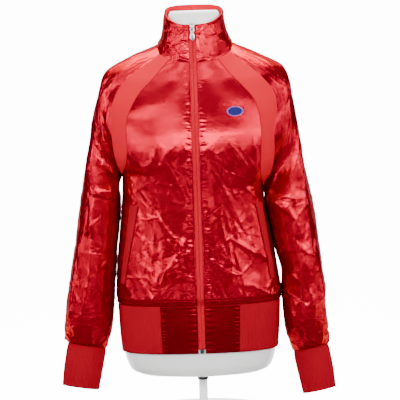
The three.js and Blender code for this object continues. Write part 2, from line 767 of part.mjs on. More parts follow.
// The stand collar, from the zip round the neck and back to the zip. inward moves it towards
// the neck, so that the facing lies inside the satin.
function collarWall(thickness, inward) {
  const wide = 28;
  const tall = 4;
  const edge = 0.035;
  const points = grid(tall, wide, (u, v) => {
    const side = u < 0.5 ? RIGHT : LEFT;
    const share = lerp(edge, 1, side === RIGHT ? 2 * u : 2 - 2 * u);
    const foot = neckPoint(side, share);
    foot.z += COLLAR_LIFT;
    const rim = rimPoint(side, share);
    const point = foot.clone().lerp(rim, v);
    return point.add(collarHollow(point, share, v));
  });
  for (const row of points) {
    row[0].x = RIGHT * FRONT_EDGE;
    row[wide].x = LEFT * FRONT_EDGE;
  }
  const normals = gridNormals(points, points.length, -1);
  for (const row of normals) {
    for (const k of [0, wide]) row[k].setX(0).normalize();
  }
  const outer = moved(points, normals, -inward);
  return wall(outer, moved(points, normals, -inward - thickness));
}

// The middle line of the zip: body front up to the neck seam, then the collar front.
function zipPoint(height) {
  if (height <= NECK_FRONT) return girthPoint(BODY, Math.PI / 2, height);
  const share = (height - NECK_FRONT) / (rimPoint(RIGHT, 0).z - NECK_FRONT);
  const point = neckPoint(RIGHT, 0).lerp(rimPoint(RIGHT, 0), share);
  return point.add(collarHollow(point, 0, share));
}

function zipTape(side) {
  const points = grid(30, 1, (u, v) => {
    const point = zipPoint(lerp(ZIP_BOTTOM, ZIP_TOP, v));
    return point.setX(side * lerp(TAPE_INNER, TAPE_OUTER, u));
  });
  const normals = gridNormals(points, points.length, side);
  return wall(points, moved(points, normals, -TAPE));
}

// A matte strip on the front panel along the slanted pocket mouth.
function welt(side) {
  const { top_x, top_z, bottom_x, bottom_z, width } = WELT[side];
  const clear = KNIT + 1.1;
  const place = (u, v) => {
    const height = lerp(bottom_z, top_z, v);
    const x = lerp(bottom_x, top_x, v) + lerp(-width / 2, width / 2, u) * lerp(0.5, 1, v);
    return { angle: bodyAngle(side, x, height), height };
  };
  const lift = ({ angle, height }) => {
    const x = Math.abs(girthPoint(BODY, angle, height).x);
    return clear + foldLift(FRONT_FOLDS[side], x, height);
  };
  return bodyWall(12, 3, KNIT, place, lift);
}

function formBody() {
  const wide = 24;
  const heights = FORM.map((row) => row.height);
  const rows = heights.map((height) =>
    Array.from({ length: wide }, (_, j) => girthPoint(FORM, (2 * Math.PI * j) / wide, height)),
  );
  const place = rows.flat().flatMap((p) => p.toArray());
  const faces = [];
  const at = (i, j) => i * wide + (j % wide);
  for (let i = 0; i < rows.length - 1; i++) {
    for (let j = 0; j < wide; j++) {
      faces.push(at(i, j), at(i, j + 1), at(i + 1, j + 1));
      faces.push(at(i, j), at(i + 1, j + 1), at(i + 1, j));
    }
  }
  const top = rows.length - 1;
  for (let j = 1; j < wide - 1; j++) {
    faces.push(at(0, 0), at(0, j + 1), at(0, j));
    faces.push(at(top, 0), at(top, j), at(top, j + 1));
  }
  return closed(place, faces);
}

function mesh(name, geometry, finish) {
  const [color, roughness, metalness] = FINISH[finish];
  const made = new THREE.Mesh(geometry, new THREE.MeshStandardMaterial({ color, roughness, metalness }));
  made.name = name;
  return made;
}

function disc(name, radius, bottom, height, finish) {
  const geometry = new THREE.CylinderGeometry(radius, radius, height, 32);
  geometry.rotateX(Math.PI / 2);
  const made = mesh(name, geometry, finish);
  made.position.z = bottom + height / 2;
  return made;
}

// The slider hooks over the top end of the tapes, and its arch holds the pull's crossbar. Both
// are drawn lying on the tape, with Z along it and -Y out of the cloth.

// An outline in Y and Z, extruded along X about the middle.
function extrudeAcross(outline, width) {
  const shape = new THREE.Shape(outline.map(([y, z]) => new THREE.Vector2(y, z)));
  const geometry = new THREE.ExtrudeGeometry(shape, { depth: width, bevelEnabled: false });
  geometry.translate(0, 0, -width / 2);
  geometry.applyMatrix4(new THREE.Matrix4().set(0, 0, 1, 0, 1, 0, 0, 0, 0, 1, 0, 0, 0, 0, 0, 1));
  return geometry;
}

function sliderBody() {
  const out = -PLATE_CLEAR - PLATE;
  const behind = TAPE + PLATE_CLEAR;
  return extrudeAcross(
    [
      [-PLATE_CLEAR, -SLIDER_LENGTH],
      [-PLATE_CLEAR, 0.5],
      [behind, 0.5],
      [behind, -SLIDER_LENGTH],
      [behind + PLATE, -SLIDER_LENGTH],
      [behind + PLATE, SLIDER_TOP],
      [out, SLIDER_TOP],
      [out, -SLIDER_LENGTH],
    ],
    SLIDER_WIDTH,
  );
}

// The arch stands just clear of the slider's plate, which it is fixed to.
function sliderArch() {
  const foot = -PLATE_CLEAR - PLATE - SEAM_GAP;
  const crown = foot - ARCH_RISE + 1;
  return extrudeAcross(
    [
      [foot, -8.6],
      [crown + 0.8, -8.6],
      [crown, -7.6],
      [crown, -1.6],
      [crown + 0.8, -0.6],
      [foot, -0.6],
      [foot, -1.8],
      [crown + 1.1, -1.8],
      [crown + 1.1, -7.4],
      [foot, -7.4],
    ],
    ARCH_WIDTH,
  );
}

function pullTab() {
  const shape = new THREE.Shape();
  shape.moveTo(-3.6, 0.9);
  shape.lineTo(3.6, 0.9);
  shape.lineTo(4, -4);
  shape.quadraticCurveTo(4, -9, 2.4, -10.5);
  shape.quadraticCurveTo(2.2, -12, 3.4, -14);
  shape.quadraticCurveTo(5, -18, 4.6, -22);
  shape.quadraticCurveTo(4, -PULL_LENGTH, 0, -PULL_LENGTH);
  shape.quadraticCurveTo(-4, -PULL_LENGTH, -4.6, -22);
  shape.quadraticCurveTo(-5, -18, -3.4, -14);
  shape.quadraticCurveTo(-2.2, -12, -2.4, -10.5);
  shape.quadraticCurveTo(-4, -9, -4, -4);
  shape.closePath();
  const eye = new THREE.Path();
  eye.moveTo(-1.9, -0.75);
  eye.lineTo(-1.9, -6.6);
  eye.lineTo(1.9, -6.6);
  eye.lineTo(1.9, -0.75);
  eye.closePath();
  shape.holes.push(eye);
  const geometry = new THREE.ExtrudeGeometry(shape, {
    depth: PULL_THICKNESS,
    bevelEnabled: false,
    curveSegments: 4,
  });
  geometry.translate(0, 0, -PULL_THICKNESS / 2);
  geometry.rotateX(Math.PI / 2);
  return geometry;
}

function zipHardware() {
  const top = zipPoint(ZIP_TOP);
  const lean = top.clone().sub(zipPoint(ZIP_TOP - 12));
  const group = new THREE.Group();
  group.position.copy(top);
  group.rotation.x = -Math.atan2(lean.y, lean.z);
  const pull = mesh("zip_pull", pullTab(), "metal");
  pull.position.set(0, -HINGE_OUT, -HINGE_DOWN);
  group.add(mesh("zip_slider", sliderBody(), "metal"), mesh("zip_slider_arch", sliderArch(), "metal"), pull);
  return group;
}

function zipStop() {
  const made = mesh("zip_stop", new THREE.BoxGeometry(7.5, 4, 8), "black");
  const foot = zipPoint(ZIP_BOTTOM - 4);
  made.position.set(0, foot.y + 1, ZIP_BOTTOM - 4 - SEAM_GAP);
  return made;
}

function jacket() {
  const group = new THREE.Group();
  for (const side of [RIGHT, LEFT]) {
    const name = SIDE_NAME[side];
    group.add(
      mesh("front_" + name, front(side), "satin"),
      mesh("insert_" + name, insert(side), "insert"),
      mesh("sleeve_" + name, sleeve(side), "satin"),
      mesh("cuff_" + name, cuff(side), "knit"),
      mesh("welt_" + name, welt(side), "knit"),
      mesh("zip_tape_" + name, zipTape(side), "tape"),
    );
  }
  const trim = SEAM_GAP / 2 / 130;
  const right = hemAngle(RIGHT, TAB_RIGHT);
  const left = hemAngle(LEFT, TAB_LEFT);
  const zipRight = hemAngle(RIGHT, FRONT_EDGE);
  const zipLeft = hemAngle(LEFT, FRONT_EDGE);
  group.add(
    mesh("back", back(), "satin"),
    mesh("hem_tab_right", hemPiece(zipRight, right + trim, 6, SATIN), "satin_dark"),
    mesh("hem_tab_left", hemPiece(zipLeft, left - trim, 6, SATIN), "satin_dark"),
    mesh("hem_rib", hemPiece(right - trim, left + trim - 2 * Math.PI, 32, KNIT), "knit"),
    mesh("collar", collarWall(SATIN, 0), "satin"),
    mesh("collar_facing", collarWall(SATIN, SATIN + SEAM_GAP), "knit"),
    zipHardware(),
    zipStop(),
  );
  return group;
}

function dressForm() {
  const group = new THREE.Group();
  const fitting = FORM_BOTTOM - FITTING_HEIGHT;
  group.add(
    mesh("form", formBody(), "shell"),
    disc("form_fitting", FITTING_RADIUS, fitting, FITTING_HEIGHT - SEAM_GAP, "black"),
    disc("form_pole", POLE_RADIUS, BASE_HEIGHT + SEAM_GAP, fitting - BASE_HEIGHT - 2 * SEAM_GAP, "stand"),
    disc("form_base", BASE_RADIUS, 0, BASE_HEIGHT, "stand"),
  );
  return group;
}

const root = new THREE.Group();
root.add(jacket(), dressForm());

export default root;
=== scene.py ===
import math

import bmesh
import bpy
import numpy as np
from mathutils import Matrix, Vector
from mathutils.geometry import delaunay_2d_cdt


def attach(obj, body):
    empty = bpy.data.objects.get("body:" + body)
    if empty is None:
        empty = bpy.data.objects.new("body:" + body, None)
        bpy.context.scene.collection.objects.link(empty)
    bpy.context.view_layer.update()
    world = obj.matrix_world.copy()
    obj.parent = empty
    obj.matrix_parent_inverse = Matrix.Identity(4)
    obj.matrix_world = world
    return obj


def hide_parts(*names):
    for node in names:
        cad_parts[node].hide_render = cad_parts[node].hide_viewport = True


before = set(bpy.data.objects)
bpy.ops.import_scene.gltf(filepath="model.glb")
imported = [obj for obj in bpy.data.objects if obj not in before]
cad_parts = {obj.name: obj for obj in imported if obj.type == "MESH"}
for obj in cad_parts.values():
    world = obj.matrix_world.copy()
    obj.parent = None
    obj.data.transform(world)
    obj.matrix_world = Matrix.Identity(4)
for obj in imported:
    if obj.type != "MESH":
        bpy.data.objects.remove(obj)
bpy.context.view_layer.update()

# Everything below is drawn in millimetres, as the jacket's pattern is, and made in metres.
MM = 0.001
RIGHT = -1
LEFT = 1
SIDE_NAME = {RIGHT: "right", LEFT: "left"}
BODY_NAME = "jacket_on_form"

# A section round the body is an oval at 2, and boxier the higher this power is.
SECTION_POWER = 2.4

# Heights of the waistband, the body above it, the neck seam and the zip
HEM_BOTTOM = 145
HEM_TOP = 244
BODY_BOTTOM = 244.4
NECK_FRONT = 742
NECK_BACK = 793
ZIP_TOP = 817
ZIP_BOTTOM = 153.4

# Distances from the middle: the zip tape, the fronts and the waistband's satin tabs
TAPE_INNER = 0.5
TAPE_OUTER = 7.1
FRONT_EDGE = 7.5
TAB_RIGHT = 82
TAB_LEFT = 78.5

# The form's lower end and its stand, with the gap between their parts
FORM_BOTTOM = 88
FITTING_HEIGHT = 11
FITTING_RADIUS = 11.5
POLE_RADIUS = 9
BASE_RADIUS = 150
BASE_HEIGHT = 10
STAND_GAP = 0.3

# Thickness of the real cloths, and how high a rib stands
SATIN = 0.6
KNIT = 1.5
TAPE = 0.9
RIB_HEIGHT = 0.28


def table(names, rows):
    """A short table as one array for each named column."""
    return {name: np.array([row[i] for row in rows], float) for i, name in enumerate(names)}


# Girths of the jacket's body and of the form: how far each reaches to every side of the middle,
# and how far back the side seam lies
SECTION_COLUMNS = ["height", "right", "left", "front", "back", "seam"]
BODY = table(SECTION_COLUMNS, [
    [145, 166, 158.6, 94, 92, 0],
    [200, 169.5, 163, 98, 96, 0],
    [244, 171.5, 165.7, 100, 98, 0],
    [260, 175, 169, 110, 104, 0],
    [280, 174.5, 167, 110.6, 104, 0],
    [311, 172.5, 162.5, 109, 101, 0],
    [350, 169, 157, 107, 96, 0],
    [400, 163, 148, 105, 90, 0],
    [440, 158.5, 141, 105.5, 88, 0],
    [480, 155, 137, 109, 90, 0],
    [512, 154, 160, 114, 92, 0],
    [535, 174, 176, 117, 94, 0],
    [560, 190, 190, 118, 95, 0],
    [590, 203, 202, 116, 97, 0],
    [625, 211, 208, 110, 99, 1],
    [655, 207, 205, 103, 99, 2],
    [680, 199, 201, 95, 98, 3],
    [705, 192, 196, 86, 96, 4],
    [722, 188, 192, 76, 93, 5],
    [739, 167, 171, 66, 89, 6],
    [756, 131, 137.6, 54, 83, 7],
    [772, 93, 99, 40, 77, 8],
    [779, 74, 83, 32, 72, 8],
    [788, 66, 76, 22, 63, 8],
    [793, 60, 70, 15, 56, 8],
])

ARMHOLE_COLUMNS = [
    "front_x", "front_z", "sleeve_x", "sleeve_z", "shoulder_x", "shoulder_z", "back_x", "back_z",
]
ARMHOLE = {
    RIGHT: table(ARMHOLE_COLUMNS, [
        [48, 748, 68, 759, 74, 779, 57, 788],
        [61.5, 734, 84, 748, 99, 769.5, 78, 775],
        [85, 708, 112, 729, 131, 756.5, 100, 752],
        [106.7, 687, 143, 704, 163, 741.5, 116, 726],
        [123.7, 663, 160, 678, 184.5, 726, 131, 697],
        [136.7, 635, 169, 652, 192, 703, 142, 667],
        [141, 612, 171.4, 628, 200, 676, 150, 640],
        [140, 586, 170, 598, 208, 648, 155, 612],
        [140.5, 560, 168, 570, 214, 617, 158, 585],
        [144, 538, 164, 546, 220, 587, 160, 558],
        [149.5, 523, 159, 527, 226, 558, 159, 533],
        [154, 512, 154, 512, 231, 532, 154, 512],
    ]),
    LEFT: table(ARMHOLE_COLUMNS, [
        [50.6, 747, 76, 761, 83, 779, 69, 788],
        [62, 731, 93, 746, 106, 769, 88, 774],
        [82, 708, 122, 722, 138, 756, 110, 750],
        [104, 685, 150, 695, 170, 739.5, 126, 722],
        [121.4, 663, 164, 671, 188.5, 725.5, 138, 693],
        [130, 638, 167, 646, 196, 703, 146, 663],
        [134, 610, 164, 619, 201.5, 676, 151, 635],
        [134, 580, 160, 590, 205.5, 648, 153, 606],
        [132, 552, 160, 560, 210, 614, 153, 575],
        [131, 524, 157, 529, 216, 580, 150, 543],
        [133, 499, 149, 503, 221.5, 545, 145, 512],
        [137, 480, 137, 480, 227, 507, 137, 480],
    ]),
}

SLEEVE_COLUMNS = ["inner_x", "inner_z", "outer_x", "outer_z", "depth", "middle"]
SLEEVE = {
    RIGHT: table(SLEEVE_COLUMNS, [
        [154, 512, 231, 532, 72, 2],
        [161.5, 492, 236, 505, 70, 2],
        [159, 460, 241.5, 472, 67, 1],
        [163.5, 405, 250.5, 415, 62, -2],
        [169.5, 352, 260, 360, 58, -5],
        [174.5, 305, 268.5, 315, 55, -7],
        [178.5, 255, 276, 265, 53, -8],
        [181, 216, 281.5, 228, 51, -9],
        [186, 193, 284.5, 204, 46, -9],
        [193, 172, 284, 184, 36, -10],
        [200, 152.6, 280, 166.6, 19, -10],
    ]),
    LEFT: table(SLEEVE_COLUMNS, [
        [137, 480, 227, 507, 72, 2],
        [139.8, 458, 233, 478, 70, 2],
        [141.5, 432, 238, 452, 67, 1],
        [149.5, 390, 245, 405, 62, -2],
        [158, 345, 251, 358, 58, -5],
        [169, 305, 256, 315, 55, -7],
        [169, 255, 260, 262, 53, -8],
        [173, 205, 262.5, 212, 51, -9],
        [176, 176, 264, 188, 46, -9],
        [182.5, 152, 265, 167, 36, -10],
        [191, 133.6, 264, 147.6, 19, -10],
    ]),
}

CUFF_COLUMNS = ["inner_x", "inner_z", "outer_x", "outer_z", "depth"]
CUFF = {
    RIGHT: table(CUFF_COLUMNS, [
        [200, 152, 280, 166, 19],
        [203.5, 133, 284, 146, 20],
        [211, 97, 290.5, 110, 19],
        [218, 63.5, 295, 76, 17],
    ]),
    LEFT: table(CUFF_COLUMNS, [
        [191, 133, 264, 147, 19],
        [193.5, 114, 268, 127, 20],
        [201, 77, 274, 90, 19],
        [208, 42, 278, 55, 17],
    ]),
}
CUFF_MIDDLE = -10

NECK_COLUMNS = ["front_x", "front_z", "back_x", "back_z"]
NECK = {
    RIGHT: table(NECK_COLUMNS, [
        [0, 742, 0, 793],
        [20, 742.3, 22, 792.6],
        [36, 744.4, 42, 790.8],
        [48, 748, 57, 788],
        [62, 755, 66, 784.5],
        [68, 759, 70, 782.5],
        [74, 779, 74, 779],
    ]),
    LEFT: table(NECK_COLUMNS, [
        [0, 742, 0, 793],
        [20, 741.8, 26, 792.6],
        [36, 743.4, 50, 791],
        [50.6, 747, 69, 788],
        [66, 755, 76, 784.5],
        [76, 761, 80, 782],
        [83, 779, 83, 779],
    ]),
}

# The collar's upper edge, from the zip to the middle of the back
RIM = table(["share", "right", "left", "depth", "height"], [
    [0, 0, 0, -54, 818],
    [0.12, 18, 20, -52, 819],
    [0.25, 37, 42, -42, 824],
    [0.38, 51, 58, -22, 834],
    [0.5, 57, 66, 4, 846],
    [0.64, 52, 60, 34, 855],
    [0.8, 33, 38, 54, 860],
    [1, 0, 0, 60, 861],
])

FORM = table(SECTION_COLUMNS, [
    [88, 62, 62, 40, 40, 0],
    [91, 104, 100, 60, 58, 0],
    [98, 138, 132, 78, 75, 0],
    [110, 152, 145, 86, 84, 0],
    [144, 162, 154.6, 90.2, 88.2, 0],
    [200, 165.9, 159.4, 94.4, 92.4, 0],
    [243, 168, 162.2, 96.6, 94.4, 0],
    [300, 164, 154, 97, 90, 0],
    [350, 154, 143, 91, 82, 0],
    [400, 146, 134, 88, 76, 0],
    [450, 144, 131, 94, 77, 0],
    [500, 146, 134, 104, 84, 0],
    [550, 149, 144, 110, 89, 0],
    [600, 153, 152, 107, 92, 0],
    [650, 158, 159, 98, 93, 2],
    [690, 163, 165, 86, 92, 3],
    [715, 168, 171, 74, 88, 5],
    [730, 167, 171, 65, 84, 6],
    [738, 157, 163, 60, 82, 6],
    [753, 130, 136.6, 49, 74.5, 7],
    [768, 87, 93, 34, 64, 8],
    [774, 68, 76, 35, 56, 8],
    [778, 60, 69, 37, 52, 7],
    [786, 54, 64, 41, 50, 6],
    [800, 50, 60, 44, 50, 4],
    [822, 48.6, 57.6, 44.6, 48, 4],
    [843, 48, 57, 43, 47, 4],
    [847, 44, 53, 39, 43, 4],
])

# Main creases: from one end to the other, then width and height. A negative height is a
# trough. The steep side of a crease lies to the right of the way that it runs.
FOLD_COLUMNS = ["x1", "z1", "x2", "z2", "width", "height"]
FRONT_FOLDS = {
    RIGHT: table(FOLD_COLUMNS, [
        [96, 602, 66, 569, 9, 2.2], [66, 569, 53, 528, 7, 1.9], [53, 528, 20, 465, 5, 1.6],
        [58, 500, 52, 462, 5, 1.1], [122, 470, 119, 397, 6, 2.2], [119, 397, 148, 326, 6, 2.0],
        [139, 334, 157, 305, 4, 1.6], [26, 386, 41, 340, 6, 1.6], [41, 340, 66, 316, 7, 1.5],
        [107, 400, 105, 275, 6, -1.3], [83, 431, 84, 288, 8, -0.9], [128, 600, 143, 530, 8, 3.4],
        [120, 298, 97, 257, 4, 1.5], [150, 290, 135, 257, 4, 1.4], [62, 300, 70, 258, 4, 1.0],
        [84, 560, 112, 500, 9, 1.0], [30, 440, 34, 300, 9, 0.8], [100, 560, 96, 440, 10, 0.8],
        [64, 450, 70, 330, 8, 0.6], [134, 420, 142, 356, 4, 1.2], [44, 700, 60, 640, 9, 0.7],
        [90, 690, 76, 640, 8, 0.6], [2, 546, 56, 524, 14, 1.2],
    ]),
    LEFT: table(FOLD_COLUMNS, [
        [57, 598, 20, 566, 8, 2.0], [19, 557, 64, 460, 5, 2.3], [60, 468, 103, 376, 5, 2.3],
        [31, 562, 60, 540, 4, 1.3], [65, 583, 125, 491, 5, 1.7], [106, 542, 127, 512, 4, 1.6],
        [96, 485, 124, 455, 4, 1.8], [76, 373, 103, 354, 5, 2.2], [103, 354, 143, 330, 5, 2.9],
        [106, 375, 128, 342, 4, 2.0], [143, 330, 158, 302, 5, 2.2], [84, 283, 110, 281, 6, 1.2],
        [110, 281, 147, 257, 4, 2.0], [31, 495, 37, 390, 6, 1.0], [60, 330, 66, 270, 9, 0.9],
        [96, 330, 128, 296, 10, -1.6], [120, 600, 124, 520, 8, 3.2], [84, 600, 96, 556, 8, 1.3],
        [70, 430, 84, 360, 8, 0.8], [50, 520, 92, 440, 4, 1.1], [48, 390, 52, 300, 9, 0.7],
        [44, 720, 56, 660, 9, 0.7], [2, 552, 20, 548, 12, 1.0], [112, 700, 100, 650, 8, 0.7],
    ]),
}
BACK_FOLDS = table(FOLD_COLUMNS, [
    [-120, 590, -40, 470, 9, 3.2], [124, 580, 46, 462, 9, 3.2], [-60, 430, 30, 330, 9, 3.0],
    [90, 410, 40, 300, 8, 3.0], [-130, 400, -100, 290, 8, 3.2], [-70, 690, 70, 694, 14, 2.0],
    [10, 560, -30, 430, 8, 2.2], [100, 500, 120, 380, 8, 2.6], [-90, 540, -110, 460, 7, 2.0],
    [60, 360, 110, 300, 7, 2.2], [-20, 330, -50, 262, 6, 1.8],
])

SLEEVE_FOLD_COLUMNS = ["around1", "along1", "around2", "along2", "width", "height"]
SLEEVE_FOLDS = {
    RIGHT: table(SLEEVE_FOLD_COLUMNS, [
        [0.43, 0.16, 0.42, 0.52, 5, 2], [0.08, 0.36, 0.12, 0.47, 4.3, 2.3],
        [0.2, 0.30, 0.14, 0.42, 4.3, 2.2], [0.28, 0.34, 0.32, 0.52, 5, 2],
        [0.32, 0.46, 0.27, 0.66, 5, 2.4], [0.14, 0.48, 0.13, 0.74, 5, -1.9],
        [0.27, 0.66, 0.33, 0.84, 5, 2.2], [0.2, 0.56, 0.24, 0.72, 3.7, 1.6],
        [0.42, 0.56, 0.4, 0.86, 5.6, 2.2], [0.08, 0.76, 0.16, 0.94, 4.3, 2.3],
        [0.24, 0.84, 0.2, 0.97, 3.7, 2], [0.36, 0.86, 0.33, 0.97, 3.7, 2],
        [0.38, 0.4, 0.3, 0.44, 3.7, 1.3], [0.24, 0.5, 0.36, 0.54, 3.1, 1.3],
        [0.12, 0.6, 0.22, 0.64, 3.1, 1.3], [0.6, 0.34, 0.62, 0.56, 5, 2.2],
        [0.75, 0.44, 0.7, 0.68, 5, 2.3], [0.88, 0.5, 0.84, 0.78, 5, -1.9],
        [0.62, 0.6, 0.58, 0.84, 5.6, 2.2], [0.78, 0.72, 0.74, 0.92, 4.3, 2.2],
    ]),
    LEFT: table(SLEEVE_FOLD_COLUMNS, [
        [0.42, 0.14, 0.4, 0.5, 5, 2], [0.3, 0.2, 0.24, 0.46, 5, 2], [0.1, 0.3, 0.05, 0.44, 4.3, 2.2],
        [0.16, 0.36, 0.28, 0.52, 5, 2.2], [0.38, 0.4, 0.34, 0.66, 5, 2.2],
        [0.2, 0.5, 0.08, 0.58, 3.7, 1.7], [0.1, 0.46, 0.12, 0.7, 5, -1.9],
        [0.24, 0.54, 0.22, 0.78, 5, 2.3], [0.42, 0.58, 0.42, 0.86, 5.6, 2.2],
        [0.34, 0.68, 0.3, 0.88, 4.3, 2.2], [0.12, 0.72, 0.18, 0.9, 4.3, 2],
        [0.26, 0.84, 0.28, 0.97, 3.7, 1.9], [0.38, 0.87, 0.36, 0.97, 3.7, 1.9],
        [0.3, 0.6, 0.4, 0.63, 3.1, 1.3], [0.14, 0.66, 0.24, 0.7, 3.1, 1.3],
        [0.62, 0.36, 0.6, 0.6, 5, 2.2], [0.74, 0.42, 0.78, 0.66, 5, 2.3],
        [0.88, 0.48, 0.86, 0.76, 5, -1.9], [0.6, 0.64, 0.62, 0.86, 5.6, 2.2],
        [0.76, 0.72, 0.72, 0.92, 4.3, 2.2],
    ]),
}
SLEEVE_GIRTH = 250
SLEEVE_LENGTH = 760

# The collar laid flat, for the size of its crumpling
COLLAR_ROUND = 360
COLLAR_TALL = 80

# The oval patch on the chest, and the slanted pocket mouths
PATCH = {"x": 82, "z": 640, "half_width": 17, "half_height": 10}
WELT = {
    RIGHT: {"top_x": 128, "top_z": 452, "bottom_x": 157, "bottom_z": 290, "width": 17},
    LEFT: {"top_x": 124, "top_z": 450, "bottom_x": 148, "bottom_z": 292, "width": 14},
}

# Where the raglan seams meet the neck seam, which runs from 0 at the zip to 1 at the back
NECK_AT_FRONT_SEAM = 5 / 12
NECK_AT_SHOULDER = 0.5
NECK_AT_BACK_SEAM = 0.75

# Rows of the seams, as the panels share them
ARMHOLE_ROWS = 12
SIDE_ROWS = 12


def lerp(a, b, t):
    return a + (b - a) * t


def smooth(x, low, high):
    t = np.clip((np.asarray(x, float) - low) / (high - low), 0, 1)
    return t * t * (3 - 2 * t)


def value(rows, key, at, column):
    """A table's value at places along its key, by a cubic that keeps between its rows."""
    x = rows[key]
    y = rows[column]
    slope = np.diff(y) / np.diff(x)
    before = slope[:-1]
    after = slope[1:]
    with np.errstate(divide="ignore", invalid="ignore"):
        middle = np.where(before * after > 0, 2 * before * after / (before + after), 0)
    level = np.concatenate([slope[:1], middle, slope[-1:]])
    at = np.asarray(at, float)
    i = np.clip(np.searchsorted(x, at, side="right") - 1, 0, len(x) - 2)
    span = x[i + 1] - x[i]
    t = np.clip((at - x[i]) / span, 0, 1)
    t2 = t * t
    t3 = t2 * t
    ends = y[i] * (2 * t3 - 3 * t2 + 1) + y[i + 1] * (3 * t2 - 2 * t3)
    return ends + span * (level[i] * (t3 - 2 * t2 + t) + level[i + 1] * (t3 - t2))


def step(rows, share, column):
    """A value of a table of even steps, at a share of the way through it."""
    y = rows[column]
    last = len(y) - 1
    place = np.clip(share, 0, 1) * last
    i = np.minimum(last - 1, np.floor(place)).astype(int)
    t = place - i
    v = [y[np.clip(i + k, 0, last)] for k in (-1, 0, 1, 2)]
    cubic = 3 * (v[1] - v[2]) + v[3] - v[0]
    square = 2 * v[0] - 5 * v[1] + 4 * v[2] - v[3]
    return v[1] + 0.5 * t * (v[2] - v[0] + t * (square + t * cubic))


def girth_point(rows, angle, height):
    c = np.cos(angle)
    s = np.sin(angle)
    at = {name: value(rows, "height", height, name) for name in SECTION_COLUMNS[1:]}
    width = np.where(c > 0, at["right"], at["left"])
    depth = np.where(s > 0, at["front"], at["back"])
    bend_c = np.sign(c) * np.abs(c) ** (2 / SECTION_POWER)
    bend_s = np.sign(s) * np.abs(s) ** (2 / SECTION_POWER)
    return np.stack([-width * bend_c, at["seam"] - depth * bend_s, height + 0 * c], axis=-1)


def unit(v):
    return v / np.maximum(np.linalg.norm(v, axis=-1, keepdims=True), 1e-9)


def girth_normal(rows, angle, height):
    low = rows["height"][0]
    high = rows["height"][-1]
    up = girth_point(rows, angle, np.minimum(high, height + 2))
    up = up - girth_point(rows, angle, np.maximum(low, height - 2))
    round_ = girth_point(rows, angle + 0.02, height) - girth_point(rows, angle - 0.02, height)
    return unit(np.cross(round_, up))


def body_angle(side, x, height, behind=False):
    width = value(BODY, "height", height, SIDE_NAME[side])
    quarter = np.arccos(np.clip(x / width, 0, 1) ** (SECTION_POWER / 2))
    angle = quarter if side == RIGHT else math.pi - quarter
    return -angle if behind else angle


def grid(tall, wide):
    """Shares across and up of a grid of tall by wide cells."""
    return np.meshgrid(np.linspace(0, 1, wide + 1), np.linspace(0, 1, tall + 1))


def grid_normals(points, ring_from=None, towards=1):
    across = np.gradient(points, axis=1)
    down = np.gradient(points, axis=0)
    if ring_from is not None:
        wrap = points[ring_from:, 1] - points[ring_from:, -2]
        across[ring_from:, 0] = wrap
        across[ring_from:, -1] = wrap
        mean = (down[ring_from:, 0] + down[ring_from:, -1]) / 2
        down[ring_from:, 0] = mean
        down[ring_from:, -1] = mean
    return towards * unit(np.cross(across, down))


# How far a crease reaches on each side and past its ends, in its widths, and how blunt it is
STEEP_SIDE = 0.7
LONG_SIDE = 1.5
END_FADE = 1.6
CREST_ROUND = 0.35


def fold_lift(folds, x, z):
    """How far creases lift the cloth. Each is steep on one side of its line and long on the other,
    and fades out towards its ends."""
    lift = np.zeros_like(x)
    for x1, z1, x2, z2, width, height in zip(*(folds[name] for name in FOLD_COLUMNS)):
        run = np.array([x2 - x1, z2 - z1])
        length = math.hypot(*run)
        way = run / length
        along = (x - x1) * way[0] + (z - z1) * way[1]
        beyond = np.maximum(0, np.maximum(-along, along - length))
        side = (x - x1) * way[1] - (z - z1) * way[0]
        reach = np.where(side > 0, STEEP_SIDE * width, LONG_SIDE * width)
        away = np.hypot(side / reach, beyond / (END_FADE * width))
        crest = np.exp(CREST_ROUND - np.hypot(away, CREST_ROUND))
        lift += height * crest * (0.5 + 0.5 * np.sin(np.pi * np.clip(along / length, 0, 1)))
    return lift


def joined(*parts):
    return {name: np.concatenate([part[name] for part in parts]) for name in FOLD_COLUMNS}


def scattered(seed, count, span_x, span_z, length, slope, width, height):
    """Small creases strewn over a stretch of cloth, nearer upright the smaller the slope is."""
    source = np.random.default_rng(seed)
    x = source.uniform(*span_x, count)
    z = source.uniform(*span_z, count)
    run = source.uniform(*length, count)
    lean = source.normal(0, slope, count)
    sign = np.where(source.random(count) < 0.7, 1, -0.8)
    values = [
        x, z, x + run * np.sin(lean), z - run * np.cos(lean),
        source.uniform(*width, count), source.uniform(*height, count) * sign,
    ]
    return dict(zip(FOLD_COLUMNS, values))


CREASE_REACH = 1.6


